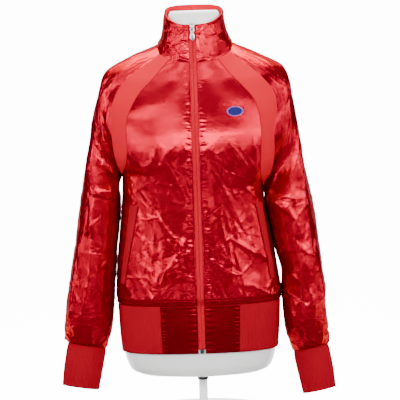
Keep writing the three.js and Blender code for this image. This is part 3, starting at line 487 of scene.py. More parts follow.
def facets(seed, x, z, size, height, ridge):
    """Crumpled cloth: flat facets of about the given size, with thin creases between them."""
    source = np.random.default_rng(seed)
    across = np.arange(x.min() - size[0], x.max() + 2 * size[0], size[0])
    down = np.arange(z.min() - size[1], z.max() + 2 * size[1], size[1])
    spots = np.stack(np.meshgrid(across, down), axis=-1)
    spots[1::2, :, 0] += size[0] / 2
    spots = (spots + source.uniform(-0.42, 0.42, spots.shape) * size).reshape(-1, 2)
    level = source.uniform(-height, height, len(spots))
    cut = delaunay_2d_cdt([Vector(spot) for spot in spots], [], [], 0, 1e-6)
    corners, sources = cut[2:4]
    rise = {}
    lift = np.zeros_like(x)
    for corner in corners:
        a, b, c = [sources[k][0] for k in corner]
        low = np.minimum(np.minimum(spots[a], spots[b]), spots[c])
        high = np.maximum(np.maximum(spots[a], spots[b]), spots[c])
        near = (x >= low[0]) & (x <= high[0]) & (z >= low[1]) & (z <= high[1])
        if not near.any():
            continue
        at = np.stack([x[near], z[near]], axis=-1)
        area = float(np.cross(spots[b] - spots[a], spots[c] - spots[a]))
        found = np.zeros(len(at))
        inside = np.ones(len(at), bool)
        for p, q, r in ((a, b, c), (b, c, a), (c, a, b)):
            edge = spots[q] - spots[p]
            part = np.cross(edge, at - spots[p]) / area
            inside &= part >= 0
            away = part * abs(area) / math.hypot(*edge)
            key = (min(p, q), max(p, q))
            if key not in rise:
                rise[key] = ridge * source.uniform(-0.5, 1)
            found += part * level[r] + rise[key] * np.exp(-away / CREASE_REACH)
        kept = lift[near]
        kept[inside] = found[inside]
        lift[near] = kept
    return lift


def puckers(seed, start, end, spacing, length, lean, width, height):
    """Short creases that leave a sewn edge, from start to end of the edge, as x and z."""
    source = np.random.default_rng(seed)
    start = np.array(start, float)
    run = np.array(end, float) - start
    count = int(math.hypot(*run) / spacing)
    way = run / math.hypot(*run)
    off = np.array([-way[1], way[0]])
    place = (np.arange(count) + source.uniform(-0.35, 0.35, count) + 0.5) / count
    foot = start + run * place[:, None]
    turn = source.normal(0, lean, count)[:, None]
    tip = foot + (off + way * turn) * source.uniform(*length, count)[:, None]
    values = [
        foot[:, 0], foot[:, 1], tip[:, 0], tip[:, 1],
        source.uniform(*width, count), source.uniform(*height, count),
    ]
    return dict(zip(FOLD_COLUMNS, values))


# How the cloth settles. Each satin panel is cut larger than the form it hangs on, and the spare
# cloth buckles into creases between the seams that hold it. In each round the threads pull, the
# cloth keeps part of its swing, and a little draws it back to its base.
THREAD_PULL = 0.42
SWING_KEPT = 0.86
DRAWN_BACK = 0.006
FIRST_TREMBLE = 0.012
CALMING = 0.02


def stretch_moves(points, links):
    """How far each point is moved by the threads that tie it to its neighbours."""
    move = np.zeros_like(points)
    for (a, b), length in links:
        apart = points[b] - points[a]
        now = np.maximum(np.linalg.norm(apart, axis=-1), 1e-6)
        pull = (0.5 * (1 - length / now))[..., None] * apart
        move[a] += pull
        move[b] -= pull
    return move


LINKS = [
    ((slice(None), slice(None, -1)), (slice(None), slice(1, None)), "round"),
    ((slice(None, -1), slice(None)), (slice(1, None), slice(None)), "down"),
    ((slice(None, -1), slice(None, -1)), (slice(1, None), slice(1, None)), "slant"),
    ((slice(None, -1), slice(1, None)), (slice(1, None), slice(None, -1)), "slant"),
]


def settle(base, normals, ease, held, steps, seed, ring_from=None, lift=None, reach=(-3, 9)):
    """Buckles a grid of cloth over its base. ease gives the spare cloth round and down as shares,
    held is 1 where a seam holds the cloth, steps are the rounds at each fineness, and reach is
    how far the cloth may go in and out."""
    offset = None
    source = np.random.default_rng(seed)
    strides = [2 ** (len(steps) - 1 - k) for k in range(len(steps))]
    for stride, rounds in zip(strides, steps):
        here = (slice(None, None, stride), slice(None, None, stride))
        b = base[here]
        n = normals[here]
        spare_round, spare_down = (share[here] for share in ease)
        slack = 1 - held[here]
        target = b + n * lift[here][..., None] if lift is not None else b
        p = target.copy() if offset is None else target + finer(offset, b.shape)
        cell = np.linalg.norm(b[:, 1:] - b[:, :-1], axis=-1).mean()
        tremble = source.normal(0, FIRST_TREMBLE, b.shape[:2])
        p += n * (tremble * stride * cell * slack)[..., None]
        links = []
        for first, second, way in LINKS:
            length = np.linalg.norm(target[second] - target[first], axis=-1)
            spare = {
                "round": (spare_round[first] + spare_round[second]) / 2,
                "down": (spare_down[first] + spare_down[second]) / 2,
                "slant": (spare_round[first] + spare_down[second]) / 2,
            }[way]
            links.append(((first, second), length * (1 + spare)))
        old = p.copy()
        loose = slack[..., None]
        for _ in range(rounds):
            swing = SWING_KEPT * (p - old)
            old = p.copy()
            p = p + THREAD_PULL * stretch_moves(p, links) + swing
            gone = p - target
            p[1:-1] += CALMING * (gone[2:] + gone[:-2] - 2 * gone[1:-1])
            p[:, 1:-1] += CALMING * (gone[:, 2:] + gone[:, :-2] - 2 * gone[:, 1:-1])
            p -= DRAWN_BACK * gone
            if ring_from is not None:
                row = -(-ring_from // stride)
                seam = (p[row:, 0] + p[row:, -1]) / 2
                p[row:, 0] = seam
                p[row:, -1] = seam
            out = np.sum((p - b) * n, axis=-1)
            p += n * (np.clip(out, reach[0], reach[1]) - out)[..., None]
            p = b + (p - b) * loose
        offset = p - target
    return p


def finer(offset, shape):
    """An offset on a coarse grid, spread on to one twice as fine."""
    for axis in (0, 1):
        size = offset.shape[axis]
        place = np.linspace(0, size - 1, shape[axis])
        low = np.minimum(place.astype(int), size - 2)
        t = place - low
        t = t[:, None, None] if axis == 0 else t[None, :, None]
        offset = np.take(offset, low, axis) * (1 - t) + np.take(offset, low + 1, axis) * t
    return offset


ALL_EDGES = ["left", "right", "top", "bottom"]


def near_edges(shape, sides, cells):
    """1 at the named edges of a grid, fading to 0 within a number of cells."""
    tall, wide = shape
    row, column = np.mgrid[0:tall, 0:wide]
    away = {"left": column, "right": wide - 1 - column, "bottom": row, "top": tall - 1 - row}
    nearest = np.min([away[side] for side in sides], axis=0)
    return np.clip(1 - nearest / cells, 0, 1)


# Meshes


def new_mesh(name, vertices, faces, uv=None, smooth_faces=True):
    mesh = bpy.data.meshes.new(name)
    mesh.from_pydata((np.asarray(vertices) * MM).tolist(), [], faces)
    if uv is not None:
        layer = mesh.uv_layers.new(name="UVMap")
        corner = np.empty(len(mesh.loops), dtype=np.int32)
        mesh.loops.foreach_get("vertex_index", corner)
        layer.data.foreach_set("uv", np.asarray(uv)[corner].astype(np.float32).ravel())
    mesh.polygons.foreach_set("use_smooth", [smooth_faces] * len(mesh.polygons))
    made = bpy.data.objects.new(name, mesh)
    bpy.context.scene.collection.objects.link(made)
    return made


def cloth(name, points, thickness, material, ring_from=None, outward=1):
    """A cloth piece from a grid of its outer points, with its weave in the UV map in metres."""
    tall, wide = points.shape[:2]
    index = np.arange(tall * wide).reshape(tall, wide)
    if ring_from is not None:
        index[ring_from:, -1] = index[ring_from:, 0]
    quads = np.stack([index[:-1, :-1], index[:-1, 1:], index[1:, 1:], index[1:, :-1]], axis=-1)
    quads = quads.reshape(-1, 4)
    if outward < 0:
        quads = quads[:, ::-1]
    rows_apart = np.linalg.norm(np.diff(points.mean(axis=1), axis=0), axis=-1)
    along = np.concatenate([[0], np.cumsum(rows_apart)])
    step_round = np.linalg.norm(np.diff(points, axis=1), axis=-1).mean()
    u = np.broadcast_to(np.arange(wide) * step_round * MM, (tall, wide))
    v = np.broadcast_to((along * MM)[:, None], (tall, wide))
    made = new_mesh(name, points.reshape(-1, 3), quads.tolist(), np.stack([u, v], -1).reshape(-1, 2))
    if ring_from is not None:
        clean = bmesh.new()
        clean.from_mesh(made.data)
        bmesh.ops.delete(clean, geom=[v for v in clean.verts if not v.link_faces], context="VERTS")
        clean.to_mesh(made.data)
        clean.free()
    thicken(made, thickness, material)
    return made


def thicken(piece, thickness, material):
    """Gives a sheet its wall, inwards from its outer face, and its finish."""
    wall = piece.modifiers.new("thickness", "SOLIDIFY")
    wall.thickness = thickness * MM
    wall.offset = -1
    apply_modifiers(piece)
    piece.data.materials.append(material)


def clean_mesh(mesh, flatten=False):
    """Joins doubled points, joins flat faces if asked, and turns the faces outwards."""
    clean = bmesh.new()
    clean.from_mesh(mesh)
    bmesh.ops.remove_doubles(clean, verts=clean.verts, dist=1e-6)
    if flatten:
        bmesh.ops.dissolve_limit(clean, angle_limit=0.02, verts=clean.verts, edges=clean.edges)
    bmesh.ops.recalc_face_normals(clean, faces=clean.faces)
    clean.to_mesh(mesh)
    clean.free()


def tube_faces(rings, count):
    """Faces of a closed tube of rings of points, with a cap at each end."""
    index = np.arange(rings * count).reshape(rings, count)
    turn = np.roll(index, -1, axis=1)
    quads = np.stack([index[:-1], turn[:-1], turn[1:], index[1:]], axis=-1).reshape(-1, 4).tolist()
    return quads + [index[0][::-1].tolist(), index[-1].tolist()]


def apply_modifiers(piece):
    graph = bpy.context.evaluated_depsgraph_get()
    graph.update()
    mesh = bpy.data.meshes.new_from_object(piece.evaluated_get(graph), depsgraph=graph)
    piece.modifiers.clear()
    old = piece.data
    piece.data = mesh
    bpy.data.meshes.remove(old)


def hang(piece, nodes=(), body=BODY_NAME):
    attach(piece, body)
    if nodes:
        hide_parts(*nodes)
    return piece


# Finishes


def feed(tree, node, inputs):
    """Sets a node's inputs to values, or links them to the outputs of other nodes."""
    for name, given in inputs.items():
        if isinstance(given, bpy.types.NodeSocket):
            tree.links.new(given, node.inputs[name])
        else:
            node.inputs[name].default_value = given


def add_node(tree, kind, inputs=None, **settings):
    made = tree.nodes.new(kind)
    for name, setting in settings.items():
        setattr(made, name, setting)
    feed(tree, made, inputs or {})
    return made


def new_material(name):
    material = bpy.data.materials.new(name)
    material.use_nodes = True
    tree = material.node_tree
    tree.nodes.clear()
    shader = add_node(tree, "ShaderNodeBsdfPrincipled")
    add_node(tree, "ShaderNodeOutputMaterial", {"Surface": shader.outputs["BSDF"]})
    return material, tree, shader


def spread(tree, amount, low, high, at_low, at_high):
    """An amount between low and high, spread between two other values."""
    ends = {"From Min": low, "From Max": high, "To Min": at_low, "To Max": at_high}
    return add_node(tree, "ShaderNodeMapRange", {"Value": amount, **ends}).outputs["Result"]


def mix_colours(tree, share, first, second):
    inputs = {"Factor": share, "A": first, "B": second}
    return add_node(tree, "ShaderNodeMix", inputs, data_type="RGBA").outputs["Result"]


def relief(tree, height, strength, distance, **under):
    inputs = {"Height": height, "Strength": strength, "Distance": distance, **under}
    return add_node(tree, "ShaderNodeBump", inputs).outputs["Normal"]


def crumple_group():
    """Fine crinkles, long streaks, soft mottling and the weave of a cloth. The weave and streaks
    follow its UV map, in metres."""
    group = bpy.data.node_groups.new("cloth_surface", "ShaderNodeTree")
    face = group.interface
    for name, start in [("Crinkle Size", 12.0), ("Weave Scale", 900.0), ("Weave Depth", 0.2)]:
        face.new_socket(name, in_out="INPUT", socket_type="NodeSocketFloat").default_value = start
    for name in ("Height", "Streak", "Mottle"):
        face.new_socket(name, in_out="OUTPUT", socket_type="NodeSocketFloat")
    given = add_node(group, "NodeGroupInput").outputs
    place = add_node(group, "ShaderNodeTexCoord").outputs

    def reckon(operation, first, second):
        return add_node(group, "ShaderNodeMath", {0: first, 1: second}, operation=operation).outputs[0]

    def noise(vector, scale, **inputs):
        inputs = {"Vector": vector, "Scale": scale, **inputs}
        return add_node(group, "ShaderNodeTexNoise", inputs).outputs["Fac"]

    crinkle_scale = reckon("MULTIPLY", given["Crinkle Size"], 6)
    crinkle = noise(place["Object"], crinkle_scale, Detail=4, Distortion=0.6)
    weave = add_node(group, "ShaderNodeTexWave", {
        "Vector": place["UV"], "Scale": given["Weave Scale"], "Distortion": 0.6,
    }).outputs["Fac"]
    soft_weave = reckon("MULTIPLY", weave, given["Weave Depth"])
    stretch = add_node(group, "ShaderNodeMapping", {"Vector": place["UV"], "Scale": (420, 34, 1)})
    add_node(group, "NodeGroupOutput", {
        "Height": reckon("ADD", reckon("PINGPONG", crinkle, 0.5), soft_weave),
        "Streak": noise(stretch.outputs["Vector"], 1),
        "Mottle": noise(place["Object"], 14, Detail=2),
    })
    return group


CLOTH_SURFACE = crumple_group()
# Near-black red that the satin's colour turns to at its rims: painted shade.
SATIN_RIM_PAINTED_SHADE = (0.06, 0.0004, 0.008, 1)
SATIN_GLANCE = (0.8, 0.05, 0.14, 1)


def cloth_shader(name, dark, light, crinkle, weave, depth):
    """A cloth's material with its mottled colour and its relief, before its gloss."""
    material, tree, shader = new_material(name)
    inputs = {"Crinkle Size": crinkle, "Weave Scale": weave, "Weave Depth": depth}
    surface = add_node(tree, "ShaderNodeGroup", node_tree=CLOTH_SURFACE)
    feed(tree, surface, inputs)
    shader.inputs["Specular IOR Level"].default_value = 0.08
    colour = mix_colours(tree, surface.outputs["Mottle"], (*dark, 1), (*light, 1))
    crinkled = relief(tree, surface.outputs["Height"], 0.6, 0.0006)
    return material, tree, shader, surface, colour, crinkled


def matte_cloth(name, dark, light, roughness, crinkle, weave):
    material, tree, shader, _, colour, crinkled = cloth_shader(name, dark, light, crinkle, weave, 1.0)
    feed(tree, shader, {"Base Color": colour, "Roughness": roughness, "Normal": crinkled})
    return material


def satin(name, dark, light, roughness):
    """Satin is glossiest face on. Its sheen grows rougher towards the rims, where its colour is also
    darkened as painted shade.
    """
    material, tree, shader, surface, colour, crinkled = cloth_shader(name, dark, light, 14, 900, 0.15)
    rim = add_node(tree, "ShaderNodeLayerWeight", {"Blend": 0.35}).outputs["Facing"]
    # The base colour darkens towards the rims with the facing angle: painted shade at the rims.
    feed(tree, shader, {
        "Base Color": mix_colours(tree, spread(tree, rim, 0.4, 0.9, 0, 0.8), colour, SATIN_RIM_PAINTED_SHADE),
        "Roughness": spread(tree, rim, 0.3, 0.95, roughness, 0.4),
        "Metallic": 0.85,
        "Specular Tint": SATIN_GLANCE,
        "Normal": relief(tree, surface.outputs["Streak"], 0.25, 0.0005, Normal=crinkled),
    })
    return material


def plain_material(name, colour, roughness, metallic=0.0, grain=0.0):
    material, tree, shader = new_material(name)
    place = add_node(tree, "ShaderNodeTexCoord").outputs["Object"]
    speck = add_node(tree, "ShaderNodeTexNoise", {"Vector": place, "Scale": 400}).outputs["Fac"]
    feed(tree, shader, {
        "Base Color": (*colour, 1),
        "Roughness": spread(tree, speck, 0, 1, roughness * 0.85, roughness * 1.15),
        "Metallic": metallic,
        "Normal": relief(tree, speck, grain, 0.0002),
    })
    return material


SATIN_RED = satin("satin_red", (0.35, 0.0001, 0.014), (0.43, 0.0002, 0.019), 0.18)
TAB_RED = satin("hem_satin_red", (0.17, 0.0001, 0.006), (0.22, 0.0001, 0.008), 0.26)
INSERT_RED = matte_cloth("insert_knit_red", (0.54, 0.0002, 0.014), (0.60, 0.001, 0.017), 0.9, 30, 420)
RIB_RED = matte_cloth("rib_knit_red", (0.30, 0.0004, 0.010), (0.36, 0.0006, 0.012), 0.9, 30, 420)
TAPE_RED = matte_cloth("zip_tape_red", (0.50, 0.0002, 0.016), (0.58, 0.0006, 0.018), 0.75, 40, 700)
THREAD_RED = plain_material("thread_red", (0.45, 0.008, 0.012), 0.5, grain=0.3)
ZIP_METAL = plain_material("zip_metal", (0.36, 0.36, 0.37), 0.26, 1.0, 0.1)
STOP_BLACK = plain_material("black_plastic", (0.012, 0.012, 0.012), 0.45, grain=0.2)
FORM_SHELL = plain_material("form_shell", (0.88, 0.87, 0.86), 0.22, grain=0.05)
STAND_PAINT = plain_material("stand_paint", (0.94, 0.94, 0.93), 0.35, grain=0.1)
PATCH_NAVY = matte_cloth("patch_navy", (0.010, 0.012, 0.11), (0.018, 0.02, 0.16), 0.5, 40, 1400)
PATCH_EDGE = matte_cloth("patch_border", (0.10, 0.12, 0.42), (0.14, 0.17, 0.5), 0.5, 40, 1400)


# The body's panels


def armhole_place(side, share, line):
    rows = ARMHOLE[side]
    height = step(rows, share, line + "_z")
    return body_angle(side, step(rows, share, line + "_x"), height, line == "back"), height


def panel_edge(side, share, line):
    """The angle and height up a panel's outer edge: the side seam, then the raglan seam."""
    row = share * (SIDE_ROWS + ARMHOLE_ROWS)
    underarm = ARMHOLE[side][line + "_z"][-1]
    low = lerp(BODY_BOTTOM, underarm, np.clip(row / SIDE_ROWS, 0, 1) ** 1.25)
    angle, high = armhole_place(side, np.clip(1 - (row - SIDE_ROWS) / ARMHOLE_ROWS, 0, 1), line)
    seam = 0.0 if side == RIGHT else math.pi
    if line == "back" and side == LEFT:
        seam = -math.pi
    below = row <= SIDE_ROWS
    return np.where(below, seam, angle), np.where(below, low, high)


# Rounds of settling at each fineness of the satin panels' grids, from coarse to fine
PANEL_ROUNDS = (120, 70, 40)


def gathers(distance, reach):
    return np.exp(-((distance / reach) ** 2))


def on_body(angle, height):
    return girth_point(BODY, angle, height), girth_normal(BODY, angle, height)


def hem_roll(height):
    """The roll of cloth that is turned in along the seam above the waistband."""
    return 1.5 * gathers(height - 249.5, 2.4) - 0.6 * gathers(height - 255.5, 1.8)


def front_panel(side):
    u, v = grid(304, 100)
    edge_angle, edge_height = panel_edge(side, v, "front")
    height = lerp(lerp(BODY_BOTTOM, NECK_FRONT, v**1.15), edge_height, u**1.3)
    angle = lerp(body_angle(side, FRONT_EDGE, height), edge_angle, u)
    base, normals = on_body(angle, height)
    shape = height.shape
    x = np.abs(base[..., 0])
    inner = 1 - near_edges(shape, ["right", "top", "bottom"], 14)
    along_zip = 1 - near_edges(shape, ["left", "top", "bottom"], 3)
    at_hem = 1 - near_edges(shape, ["right", "bottom"], 3)
    from_patch = np.hypot((x - PATCH["x"]) / 26, (height - PATCH["z"]) / 18)
    still = 1 - smooth(from_patch, 0.7, 1.4) if side == LEFT else np.zeros_like(x)
    strewn = scattered(20 + side, 150, (15, 165), (265, 600), (14, 50), 0.5, (2, 4), (0.25, 0.8))
    main = fold_lift(joined(FRONT_FOLDS[side], strewn), x, height)
    zip_edge = puckers(30 + side, (8, 740), (8, 246), 5.4, (4, 14), 0.3, (1.2, 1.8), (0.3, 0.75))
    hem_edge = puckers(32 + side, (10, 253), (168, 253), 10, (6, 26), 0.4, (1.8, 3.2), (0.5, 1.5))
    crumple = facets(36 + side, x, height, (24, 48), 0.8, 0.6)
    crumple += facets(38 + side, x, height, (10, 16), 0.12, 0.12)
    main += crumple * lerp(1, 0.25, smooth(height, 520, 590))
    calmed = 1 - 0.82 * smooth(height, 500, 590)
    lift = main * smooth(inner, 0, 1) * smooth(along_zip, 0, 1) * calmed
    lift += fold_lift(zip_edge, x, height) * smooth(along_zip, 0, 1)
    lift += fold_lift(hem_edge, x, height) * smooth(at_hem, 0, 1)
    lift += hem_roll(height)
    lift *= 1 - still
    chest = smooth(height, 560, 680)
    ease_down = 0.004 - 0.004 * chest + 0.03 * gathers(x - FRONT_EDGE, 9)
    ease_round = 0.006 - 0.006 * chest + 0.04 * gathers(height - BODY_BOTTOM, 14)
    ease = (ease_round * (1 - still), ease_down * (1 - still))
    held = near_edges(shape, ALL_EDGES, 1.0)
    return settle(base, normals, ease, held, PANEL_ROUNDS, 40 + side, lift=lift, reach=(-4, 10))


def back_panel():
    u, v = grid(192, 120)
    right_angle, right_height = panel_edge(RIGHT, v, "back")
    left_angle, left_height = panel_edge(LEFT, v, "back")
    middle = lerp(BODY_BOTTOM, NECK_BACK, v**1.1)
    height = lerp(middle, lerp(right_height, left_height, u), np.abs(2 * u - 1) ** 2.2)
    angle = lerp(right_angle, left_angle, u)
    base, normals = on_body(angle, height)
    shape = height.shape
    free = 1 - near_edges(shape, ALL_EDGES, 14)
    x = base[..., 0]
    strewn = scattered(22, 120, (-165, 165), (270, 750), (18, 60), 0.6, (3, 6), (0.4, 1.2))
    hem_edge = puckers(34, (-168, 253), (168, 253), 10, (6, 26), 0.4, (1.8, 3.2), (0.5, 1.5))
    lift = fold_lift(joined(BACK_FOLDS, strewn), x, height)
    lift = (lift + facets(39, x, height, (20, 36), 0.55, 0.35)) * smooth(free, 0, 1)
    at_hem = 1 - near_edges(shape, ["left", "right", "bottom"], 3)
    lift += fold_lift(hem_edge, x, height) * smooth(at_hem, 0, 1) + hem_roll(height)
    chest = smooth(height, 600, 700)
    ease_down = 0.012 - 0.004 * chest
    ease_round = 0.016 - 0.006 * chest + 0.04 * gathers(height - BODY_BOTTOM, 14)
    ease = (ease_round, ease_down)
    held = near_edges(shape, ALL_EDGES, 1.0)
    return settle(base, normals, ease, held, PANEL_ROUNDS, 50, lift=lift, reach=(-4, 10))


def insert_panel(side):
    u, v = grid(150, 24)
    share = v * 0.985
    near_angle, near_height = armhole_place(side, share, "front")
    far_angle, far_height = armhole_place(side, share, "sleeve")
    angle = lerp(near_angle, far_angle, u)
    height = lerp(near_height, far_height, u)
    base, normals = on_body(angle, height)
    held = near_edges(height.shape, ALL_EDGES, 1.0)
    spare = np.full(height.shape, 0.012)
    return settle(base, normals, (spare, spare), held, (120, 60), 60 + side, reach=(-2, 3))


# The raglan sleeves


def bezier(points, t):
    t = t[..., None]
    s = 1 - t
    return s**3 * points[0] + 3 * s * s * t * points[1] + 3 * s * t * t * points[2] + t**3 * points[3]


def sleeve_rows(start, start_out, outer, depth, end, end_out, count):
    """Rows of points from seam over the outer line to seam, one for each row of the inputs."""
    reach = np.zeros_like(outer)
    reach[:, 1] = depth
    u = np.linspace(0, 1, count + 1)[None, :]
    near = [p[:, None, :] for p in (start, start_out, outer - reach, outer)]
    far = [p[:, None, :] for p in (outer, outer + reach, end_out, end)]
    front = bezier(near, np.clip(2 * u, 0, 1))
    rear = bezier(far, np.clip(2 * u - 1, 0, 1))
    return np.where((u <= 0.5)[..., None], front, rear)


def shoulder_rows(side, share, count):
    rows = ARMHOLE[side]

    def seam_point(line):
        angle, height = armhole_place(side, share, line)
        turn = -1 if (side == RIGHT) != (line == "back") else 1
        point = girth_point(BODY, angle, height)
        return point, unit(girth_point(BODY, angle + 0.02 * turn, height) - point)

    near, near_way = seam_point("sleeve")
    far, far_way = seam_point("back")
    height = step(rows, share, "shoulder_z")
    outer = np.stack(
        [side * step(rows, share, "shoulder_x"), value(BODY, "height", height, "seam"), height], axis=-1
    )

    def leave(point, way):
        straight = outer - point
        reach = np.linalg.norm(straight, axis=-1, keepdims=True)
        turn = 0.85 * smooth(share, 0.35, 1)[:, None]
        return point + unit(way * (1 - turn) + straight / reach * turn) * 0.5 * reach

    depth = lerp(0.5, 0.62, smooth(share, 0.3, 1)) * np.linalg.norm(outer - near, axis=-1)
    return sleeve_rows(near, leave(near, near_way), outer, depth, far, leave(far, far_way), count)


def tube_rows(side, rows, share, count, sag=0, middle=None):
    at = {name: step(rows, share, name) for name in rows}
    y = at["middle"] if middle is None else np.full_like(share, middle)
    inner = np.stack([side * at["inner_x"], y, at["inner_z"]], axis=-1)
    outer = np.stack([side * at["outer_x"], y, at["outer_z"]], axis=-1)
    depth = at["depth"] * 4 / 3
    lean = np.stack([0 * y, depth, sag + 0 * y], axis=-1)
    start_out = inner - lean
    end_out = inner + lean * np.array([1, 1, -1])
    return sleeve_rows(inner, start_out, outer, depth, inner, end_out, count)


SHOULDER_CELLS = 88
TUBE_CELLS = 168
SLEEVE_CELLS = 136


def neck_shift(side):
    """How far the top row of the shoulder has to move to lie along the neck seam."""
    u = np.linspace(0, 1, SLEEVE_CELLS + 1)
    front = lerp(NECK_AT_FRONT_SEAM, NECK_AT_SHOULDER, 2 * u)
    rear = lerp(NECK_AT_SHOULDER, NECK_AT_BACK_SEAM, 2 * u - 1)
    share = np.where(u <= 0.5, front, rear)
    shift = neck_point(side, share) - shoulder_rows(side, np.zeros(1), SLEEVE_CELLS)[0]
    return shift - lerp(shift[0], shift[-1], u[:, None])


def sleeve_base(side):
    cap = np.arange(SHOULDER_CELLS) / SHOULDER_CELLS
    tube = np.arange(TUBE_CELLS + 1) / TUBE_CELLS
    sag = 30 * (1 - smooth(tube, 0, 5 / 16))
    upper = shoulder_rows(side, cap, SLEEVE_CELLS)
    upper = upper + neck_shift(side) * (1 - smooth(cap, 0, 0.4))[:, None, None]
    lower = tube_rows(side, SLEEVE[side], tube**0.96, SLEEVE_CELLS, sag)
    return eased_rows(np.concatenate([upper, lower]), SHOULDER_CELLS, 30)


def eased_rows(points, middle, reach):
    """Eases the turn in a grid's shape near one row, except along its side seams."""
    points = points.copy()
    row = np.arange(len(points))
    column = np.linspace(0, 1, points.shape[1])
    weight = gathers(row - middle, reach)[:, None] * smooth(np.minimum(column, 1 - column), 0, 0.1)
    for _ in range(240):
        points[1:-1] += 0.4 * weight[1:-1, :, None] * (points[2:] + points[:-2] - 2 * points[1:-1]) / 2
    return points


def sleeve(side):
    base = sleeve_base(side)
    normals = grid_normals(base, SHOULDER_CELLS, -side)
    shape = base.shape[:2]
    row = np.arange(shape[0])
    down_tube = 0.33 + 0.67 * (row - SHOULDER_CELLS) / TUBE_CELLS
    along = np.where(row < SHOULDER_CELLS, 0.33 * row / SHOULDER_CELLS, down_tube)[:, None]
    around = np.linspace(0, 1, shape[1])[None, :]
    scale = {"around": SLEEVE_GIRTH, "along": SLEEVE_LENGTH}
    rows = [SLEEVE_FOLDS[side][name] * scale.get(name[:-1], 1) for name in SLEEVE_FOLD_COLUMNS]
    main = dict(zip(FOLD_COLUMNS, rows))
    girth = (0, SLEEVE_GIRTH)
    strewn = scattered(24 + side, 90, girth, (30, 745), (18, 70), 0.4, (2, 3.6), (0.4, 1.2))
    across = scattered(26 + side, 60, girth, (60, 745), (12, 32), 1.2, (2, 3.2), (0.3, 0.8))
    end = SLEEVE_LENGTH - 1
    cuff_edge = ((SLEEVE_GIRTH, end), (0, end))
    at_cuff = puckers(28 + side, *cuff_edge, 14, (25, 75), 0.25, (2.6, 5), (1.6, 3.4))
    x = around * SLEEVE_GIRTH + 0 * along
    z = along * SLEEVE_LENGTH + 0 * around
    near_seam = near_edges(shape, ["left", "right"], 12)
    free = np.where((row <= SHOULDER_CELLS + 12)[:, None], 1 - near_seam, 1)
    crumple = facets(80 + side, x, z, (24, 64), 1.9, 1.1)
    crumple += facets(82 + side, x, z, (11, 20), 0.3, 0.35)
    lift = (fold_lift(joined(main, strewn, across), x, z) + crumple) * smooth(along, 0.005, 0.05)
    lift = lift * (1 - smooth(along, 0.975, 1))
    lift += fold_lift(at_cuff, x, z) * (1 - smooth(along, 0.995, 1))
    ring = 0.5 * (lift[:, :1] + lift[:, -1:])
    blend = smooth(np.minimum(around, 1 - around), 0, 0.04)
    lift = lerp(ring, lift, blend) * smooth(free, 0, 1)
    held = near_edges(shape, ["bottom", "top"], 1.0)
    sides = near_edges(shape, ["left", "right"], 1.0)
    held = np.maximum(held, sides * (row <= SHOULDER_CELLS)[:, None])
    from_cuff = (1 - along) * SLEEVE_LENGTH
    ease_round = np.broadcast_to(0.006 + 0.015 * gathers(from_cuff, 20), shape)
    ease = (ease_round, np.full(shape, 0.004))
    return settle(base, normals, ease, held, PANEL_ROUNDS, 70 + side, SHOULDER_CELLS, lift, (-5, 10))


def knit_tube(side):
    """A rib cuff, with each rib raised in the outer points."""
    ribs = 58
    cells_per_rib = 4
    count = ribs * cells_per_rib
    share = np.linspace(0, 1, 31)
    points = tube_rows(side, CUFF[side], share, count, 0, CUFF_MIDDLE)
    normals = grid_normals(points, 0, -side)
    around = np.arange(count + 1) / count
    rib = RIB_HEIGHT * np.cos(2 * np.pi * ribs * around)[None, :, None]
    roll = 0.9 * np.sin(np.pi * share)[:, None, None]
    return points + normals * (rib + roll - 0.6)


# Neck and zip


def neck_point(side, share):
    rows = NECK[side]
    behind = share > 0.5
    way = np.where(behind, 2 - 2 * share, 2 * share)
    x = np.where(behind, step(rows, way, "back_x"), step(rows, way, "front_x"))
    height = np.where(behind, step(rows, way, "back_z"), step(rows, way, "front_z"))
    angle = body_angle(side, x, height)
    return girth_point(BODY, np.where(behind, -angle, angle), height)


def rim_point(side, share):
    at = {name: value(RIM, "share", share, name) for name in (SIDE_NAME[side], "depth", "height")}
    return np.stack([side * at[SIDE_NAME[side]], at["depth"], at["height"]], axis=-1)


def collar_hollow(point, share, rise):
    depth = lerp(0.01, 0.06, smooth(share, 0, 0.4)) * np.sin(np.pi * rise)
    towards = np.array([0, 8, 0]) - point
    towards[..., 2] = 0
    return towards * depth[..., None]


def collar_base(tall, wide, foot_lift):
    u, v = grid(tall, wide)
    beside_zip = 0.035
    halves = []
    for side, part in ((RIGHT, u <= 0.5), (LEFT, u > 0.5)):
        share = np.clip(lerp(beside_zip, 1, 2 * u if side == RIGHT else 2 - 2 * u), 0, 1)
        foot = neck_point(side, share)
        foot[..., 2] += foot_lift
        point = lerp(foot, rim_point(side, share), v[..., None])
        halves.append((part, point + collar_hollow(point, share, v)))
    points = np.where(halves[0][0][..., None], halves[0][1], halves[1][1])
    points[:, 0, 0] = RIGHT * FRONT_EDGE
    points[:, -1, 0] = LEFT * FRONT_EDGE
    return points


def collar():
    base = collar_base(48, 240, -1.5)
    normals = grid_normals(base, None, -1)
    shape = base.shape[:2]
    held = near_edges(shape, ALL_EDGES, 1.0)
    u, v = grid(*[n - 1 for n in shape])
    ease_round = 0.03 + 0.03 * gathers(v, 0.15)
    ease_down = 0.03 + 0.06 * gathers(np.minimum(u, 1 - u), 0.03)
    free = 1 - near_edges(shape, ALL_EDGES, 5)
    crumple = facets(91, u * COLLAR_ROUND, v * COLLAR_TALL, (20, 28), 1.5, 0.8) + 0.8
    lift = crumple * smooth(free, 0, 1)
    rounds = (160, 100, 50)
    return settle(base, normals, (ease_round, ease_down), held, rounds, 90, None, lift, (-1, 3.5))


def collar_inside():
    base = collar_base(24, 160, 3)
    return base - grid_normals(base, None, -1) * 2.4


def zip_line(height):
    low = girth_point(BODY, np.full_like(height, math.pi / 2), np.minimum(height, NECK_FRONT))
    foot = neck_point(RIGHT, np.zeros(1))
    rim = rim_point(RIGHT, np.zeros(1))
    share = np.clip((height - NECK_FRONT) / (rim[0, 2] - NECK_FRONT), 0, 1)
    high = lerp(foot, rim, share[..., None])
    high = high + collar_hollow(high, np.zeros_like(height), share)
    return np.where((height <= NECK_FRONT)[..., None], low, high)


